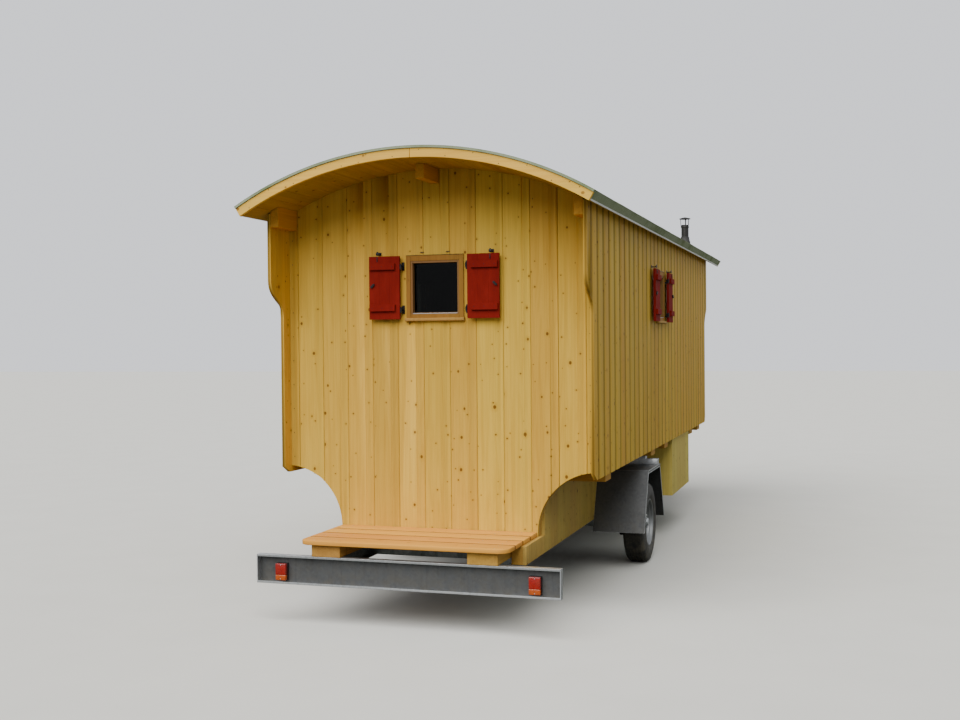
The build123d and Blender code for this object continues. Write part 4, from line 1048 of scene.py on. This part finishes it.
def deckShape():
    shape = cadCopy("deck_boards")
    easeEdges(shape, deck["edge"], 3, 60.0)
    gaps = [rearFace - deck["board"] - 0.004 - number * deckPitch for number in range(3)]
    for face in shape.faces:
        y = face.calc_center_median().y
        # painted shade: the eased faces beside each gap take the darker larch
        besideGap = any(abs(y - gap) < deck["reach"] for gap in gaps)
        face.material_index = 1 if besideGap and face.normal.z < 0.999 else 0
    return shape


def lightBarShape():
    shape = cadCopy("light_bar")
    easeEdges(shape, rimReflectionAndWebShade["edge"])
    for face in shape.faces:
        # painted shade: the web's face inside the channel takes the darker fender zinc
        face.material_index = 1 if face.normal.y < -0.9 and face.calc_center_median().y > rimReflectionAndWebShade["web"] else 0
    return shape


def lampShape():
    shape = bmesh.new()
    half, foot, top, back, front, split, inset = (
        lamp[key] for key in ("half", "foot", "top", "back", "front", "split", "rim")
    )
    base = back - lamp["base"]
    for middle in (-lamp["place"], lamp["place"]):
        join(shape, block(around(middle, half), (base, back), (foot, top), 2.5, 3))
        for z, tint in (((foot + inset, split), 2), ((split + mm, top - inset), 1)):
            join(shape, block(around(middle, half - inset), (front, base + mm), z, 3.5, 4), tint=tint)
        places = [(middle, front, z) for z in (foot + 12 * mm, top - 12 * mm)]
        join(shape, heads(places, "rear", 3.2, 0.9), tint=3)
    return shape


newPiece("fender_sheets", fenderShape(), "fender fenderEdge", "fenders")
newPiece("deck_planks", deckShape(), "deck deckEdge", "deck_boards")
newPiece("light_channel", lightBarShape(), "zincPale fender", "light_bar")
newPiece("lamp_lenses", lampShape(), "iron lampRed lampAmber zincPale", "rear_lamps")
print("fenders, deck and lamps ready")


# flue: hat, its struts and the collar on the roof; outlines hold (height, radius) in mm

flue = {
    "place": move((0.9537, 2.2747, 0.0)),
    "hat": [
        (3144.0, 60.0), (3143.0, 58.5), (3149.0, 57.0), (3163.5, 5.0),
        (3163.5, 0.01), (3166.0, 0.01), (3165.6, 6.0), (3151.0, 60.0),
    ],
    "band": [(3050.0, 40.4), (3050.0, 44.3), (3054.0, 44.9), (3060.0, 44.9), (3064.0, 44.3), (3064.0, 40.4)],
    "collar": [
        (2836.0, 40.5), (2836.0, 68.0), (2842.0, 70.0), (2868.0, 62.0), (2888.0, 56.0), (2896.0, 57.0),
        (2904.0, 52.0), (2926.0, 48.0), (2930.0, 46.0), (2950.0, 45.0), (2952.0, 40.5),
    ],
    "strut": ((0.0442, 3.052), (0.051, 3.148)),  # radius and height at its foot and its head
    "half": 0.006,
    "sheet": 0.002,
}


def cowlShape():
    shape = bmesh.new()
    for outline in (flue["hat"], flue["band"]):
        join(shape, roundBody(outline, 48), flue["place"] @ standing)
    (foot, low), (top, high) = flue["strut"]
    half, sheet = flue["half"], flue["sheet"]
    profile = [(foot, low), (foot + sheet, low), (top + sheet, high), (top, high)]
    for number in range(3):
        strut = prism([(x, -half, z) for x, z in profile], (0, 2 * half, 0))
        easeEdges(strut, 0.5, 1)
        turn = flue["place"] @ turnBy(90 + 120 * number, "Z")
        join(shape, strut, turn)
        join(shape, heads([(foot + sheet, 0, low + 6 * mm)], "right", 2.4, 1.0, 8), turn)
    return shape


newPiece("flue_hat", cowlShape(), "flue", "flue_cowl", smooth=30.0)
collar = join(bmesh.new(), roundBody(flue["collar"], 48), flue["place"] @ standing)
newPiece("flue_collar", collar, "rubber", smooth=40.0)
print("flue ready")


# entrance door: upright boards, strap hinges, plate and lever

door = {
    "half": 0.3617,
    "foot": 0.5883,
    "top": 2.4117,
    "back": 2.483,
    "boards": 6,
    "levels": (0.84, 2.16),
    "strap": (0.52, 0.020, 0.004),  # reach, half height, thickness
    "nails": (0.03, 0.17, 0.31, 0.45),
    "lever": (0.305, 1.55),
    "spindle": [(0, 0.01), (0, 11.0), (6, 10.0), (8, 8.0), (34, 8.0), (36, 6.0), (36, 0.01)],
    "grip": [(0, 0.01), (0, 7.0), (4, 8.5), (60, 7.5), (104, 9.0), (110, 7.0), (112, 0.01)],
    "keyhole": [(0, 2.0), (0, 6.0), (1.6, 5.0), (1.6, 2.0)],
}


def doorShape():
    shape = bmesh.new()
    width = 2 * door["half"] / door["boards"]
    for number in range(door["boards"]):
        low = -door["half"] + number * width
        join(shape, block((low, low + width), (door["back"], frontFace), (door["foot"], door["top"]), 3.0))
    reach, half, sheet = door["strap"]
    taper = [(0.0, -1.0), (0.6 * reach, -0.7), (reach - 0.03, -0.35)]
    taper += [(reach, 0.0)] + [(along, -share) for along, share in reversed(taper)]
    face = frontFace + 0.1 * mm
    for level in door["levels"]:
        outline = [(along - door["half"], face, level + share * half) for along, share in taper]
        strap = prism(outline, (0, sheet, 0))
        easeEdges(strap, 0.8)
        join(shape, strap, tint=1)
        places = [(along - door["half"], face + sheet, level) for along in door["nails"]]
        join(shape, heads(places, "front", 4.5, 1.8, 12), tint=1)
    x, z = door["lever"]
    join(shape, block(around(x, 0.02), (face, face + sheet), (z - 0.13, z + 0.05)), tint=1)
    join(shape, roundBody(door["spindle"], 20), move((x, face + 3 * mm, z)) @ turnBy(90, "Z"), tint=1)
    join(shape, roundBody(door["grip"], 20), move((x + 5 * mm, face + 32 * mm, z)) @ turnBy(180, "Z"), tint=1)
    turn = move((x, face + 3.8 * mm, z - 0.09)) @ turnBy(90, "Z")
    return join(shape, roundBody(door["keyhole"], 16), turn, tint=1)


newPiece("door_leaf", doorShape(), "door iron", "entrance_door")


# nails, screws and bolts, the hitch's lever and the prop stand's crank

fixings = {
    "gableNails": {"edge": 1.0737, "foot": 1.02, "step": 0.17, "count": 10},
    "deckScrews": {"across": (-0.61, -0.45, 0.45, 0.61), "boards": 4, "offset": 0.045, "top": 0.55},
    "frameBolts": {"side": 0.5302, "members": (-3.065, -0.9, 1.125, 2.365), "levels": (0.366, 0.414)},
    "boltOffset": 0.014,
    "hitchBolts": (0.035, (3.655, 3.715), 0.39),  # side, places along the drawbar, level
}
crank = {
    "collar": [(0, 0.01), (0, 24.0), (4, 24.0), (8, 12.0), (14, 9.0), (30, 9.0), (32, 7.5), (32, 0.01)],
    "grip": [(0, 0.01), (0, 10.0), (5, 12.0), (45, 11.0), (68, 13.0), (73, 9.0), (74, 0.01)],
    "arm": ((-0.009, 0.125), (-0.009, 0.009), (0.026, 0.034)),
    "reach": 0.113,
}


def gableNails():
    row = fixings["gableNails"]
    shape = bmesh.new()
    levels = [row["foot"] + number * row["step"] for number in range(row["count"])]
    for facing, y in (("rear", rearFace), ("front", frontFace)):
        places = [(x, y, level) for x in around(0, row["edge"]) for level in levels]
        join(shape, heads(places, facing, 3.2, 0.9))
    return shape


def deckScrews():
    rows = fixings["deckScrews"]
    places = []
    for number in range(rows["boards"]):
        middle = rearFace - deck["board"] / 2 - number * deckPitch
        places += [(x, y, rows["top"]) for x in rows["across"] for y in around(middle, rows["offset"])]
    return heads(places, "up", 4.2, 0.7, 12)


def frameBolts():
    rows = fixings["frameBolts"]
    shape = bmesh.new()
    along = [y for member in rows["members"] for y in around(member, fixings["boltOffset"])]
    for facing, side in (("right", rows["side"]), ("left", -rows["side"])):
        places = [(side, y, z) for y in along for z in rows["levels"]]
        join(shape, heads(places, facing, 9.0, 6.5, 6))
    return shape


def hitchParts():
    shape = block((-0.012, 0.012), (3.668, 3.796), (0.4302, 0.440), 3.0, 3)
    join(shape, block((-0.016, 0.016), (3.650, 3.700), (0.434, 0.462), 5.0, 3))
    side, rows, level = fixings["hitchBolts"]
    for facing, x in (("right", side), ("left", -side)):
        join(shape, heads([(x, y, level) for y in rows], facing, 9.5, 7.0, 6))
    return shape


def standCrank():
    low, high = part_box("prop_stand")
    place = move(((low.x + high.x) / 2, (low.y + high.y) / 2, high.z))
    shape = join(bmesh.new(), roundBody(crank["collar"], 24), place @ standing)
    join(shape, block(*crank["arm"], 3.0, 3), place)
    handle = place @ move((crank["reach"], 0, crank["arm"][2][1]))
    return join(shape, roundBody(crank["grip"], 20), handle @ standing)


newPiece("gable_nails", gableNails(), "iron")
newPiece("deck_screws", deckScrews(), "zincPale")
newPiece("frame_bolts", frameBolts(), "zincPale")
newPiece("hitch_lever", hitchParts(), "iron")
newPiece("stand_crank", standCrank(), "zinc")
print("door, nails, screws and bolts ready")


# the plain pieces: their solids with eased edges, and the nodes that only take a finish

easedPieces = {
    "lower_walls": ("framingLong", 2.0),
    "overhang_joists": ("framingCross", 4.0),
    "purlins": ("purlin", 4.0),
    "deck_bearers": ("framingLong", 5.0),
    "door_frame": ("joinery", 2.0),
    "storage_boxes": ("box", 2.0),
    "chassis": ("zinc", 1.5),
    "axle": ("zinc", 4.0),
    "fender_hangers": ("zincPale", 1.0),
    "lower_cladding": ("lower", 2.0),
    "coupling_head": ("iron", 5.0),
    "prop_stand": ("zinc", 1.5),
}
for nodeName, (lookName, width) in easedPieces.items():
    shape = cadCopy(nodeName)
    easeEdges(shape, width)
    newPiece(nodeName + "_look", shape, lookName, nodeName, bodyOf[nodeName])

carried = {
    "framing": "rear_wall front_wall right_wall left_wall",
    "framingLong": "floor overhang_floors",
    "framingCross": "floor_bearers",
    "drip": "eaves_trim",
    "flue": "flue_pipe",
    "glass": "window_glass",
}
for lookName, nodeNames in carried.items():
    for nodeName in nodeNames.split():
        for materialSlot in frame["nodes"][nodeName].material_slots:
            materialSlot.material = look[lookName]
print("plain pieces ready:", len(easedPieces), "eased")


# floor, light and camera

studio = {
    "floor": (tone(212, 212, 208), tone(220, 220, 216)),
    "floorBounce": (0.13, 0.135, 0.115, 1.0),  # what the pieces see of the floor, as dull as a meadow
    "worldShown": 1.15,
    "worldLight": 0.37,
    "worldShine": 1.0,
}
lights = {  # the bearing is counted from the rear, towards the flue
    "keyLight": {"bearing": -12.0, "height": 50.0, "soft": 70.0, "power": 5.0, "warmth": (1.0, 0.98, 0.94)},
    "sideFill": {"bearing": 80.0, "height": 30.0, "soft": 90.0, "power": 0.34, "warmth": (0.88, 1.0, 0.84)},
}
cameraSetup = {
    "place": (2.7428, -10.7176, 1.82),
    "turn": 17.7235,
    "dip": 0.8609,
    "roll": -0.4985,
    "lens": 44.29,
}


def buildFloor():
    shape = bmesh.new()
    bmesh.ops.create_grid(shape, x_segments=1, y_segments=1, size=60.0)
    mesh = bpy.data.meshes.new("studioFloor")
    shape.to_mesh(mesh)
    shape.free()
    floor = bpy.data.objects.new("studioFloor", mesh)
    stage.objects.link(floor)
    material, tree, shader, place = startMaterial("paleFloor", {"Roughness": 0.95, "Specular IOR Level": 0.1})
    pale = tree.mix(tree.cloud(place, 2.0, 3.0), *studio["floor"])
    seen = tree.node("LightPath").outputs["Is Camera Ray"]
    tree.feed(shader.inputs["Base Color"], tree.mix(seen, studio["floorBounce"], pale))
    mesh.materials.append(material)


def addLight(name, setup):
    light = bpy.data.lights.new(name, "SUN")
    light.angle = math.radians(setup["soft"])
    light.energy = setup["power"]
    light.color = setup["warmth"]
    lamp = bpy.data.objects.new(name, light)
    bearing, height = math.radians(setup["bearing"]), math.radians(setup["height"])
    level = math.cos(height)
    towards = Vector((math.sin(bearing) * level, -math.cos(bearing) * level, math.sin(height)))
    lamp.rotation_euler = (-towards).to_track_quat("-Z", "Y").to_euler()
    lamp.location = 12 * towards
    stage.objects.link(lamp)


def buildWorld():
    world = bpy.data.worlds.new("studioWorld")
    world.use_nodes = True
    tree = Tree(world.node_tree)
    background = world.node_tree.nodes["Background"]
    background.inputs["Color"].default_value = (0.93, 0.95, 1.0, 1.0)
    path = tree.node("LightPath").outputs
    inputs = {0: path["Is Glossy Ray"], 3: studio["worldLight"], 4: studio["worldShine"]}
    shine = tree.node("MapRange", inputs).outputs[0]
    inputs = {0: path["Is Camera Ray"], 3: shine, 4: studio["worldShown"]}
    tree.feed(background.inputs["Strength"], tree.node("MapRange", inputs).outputs[0])
    bpy.context.scene.world = world


def addCamera():
    lens = bpy.data.cameras.new("photoView")
    lens.lens = cameraSetup["lens"]
    lens.sensor_width = 36.0
    lens.sensor_fit = "HORIZONTAL"
    lens.clip_end = 200.0
    camera = bpy.data.objects.new("photoView", lens)
    tilt = turnBy(cameraSetup["turn"], "Z") @ turnBy(90.0 - cameraSetup["dip"], "X")
    camera.matrix_world = move(cameraSetup["place"]) @ tilt @ turnBy(cameraSetup["roll"], "Z")
    stage.objects.link(camera)
    bpy.context.scene.camera = camera


buildFloor()
for name, setup in lights.items():
    addLight(name, setup)
buildWorld()
addCamera()
print("stage ready")
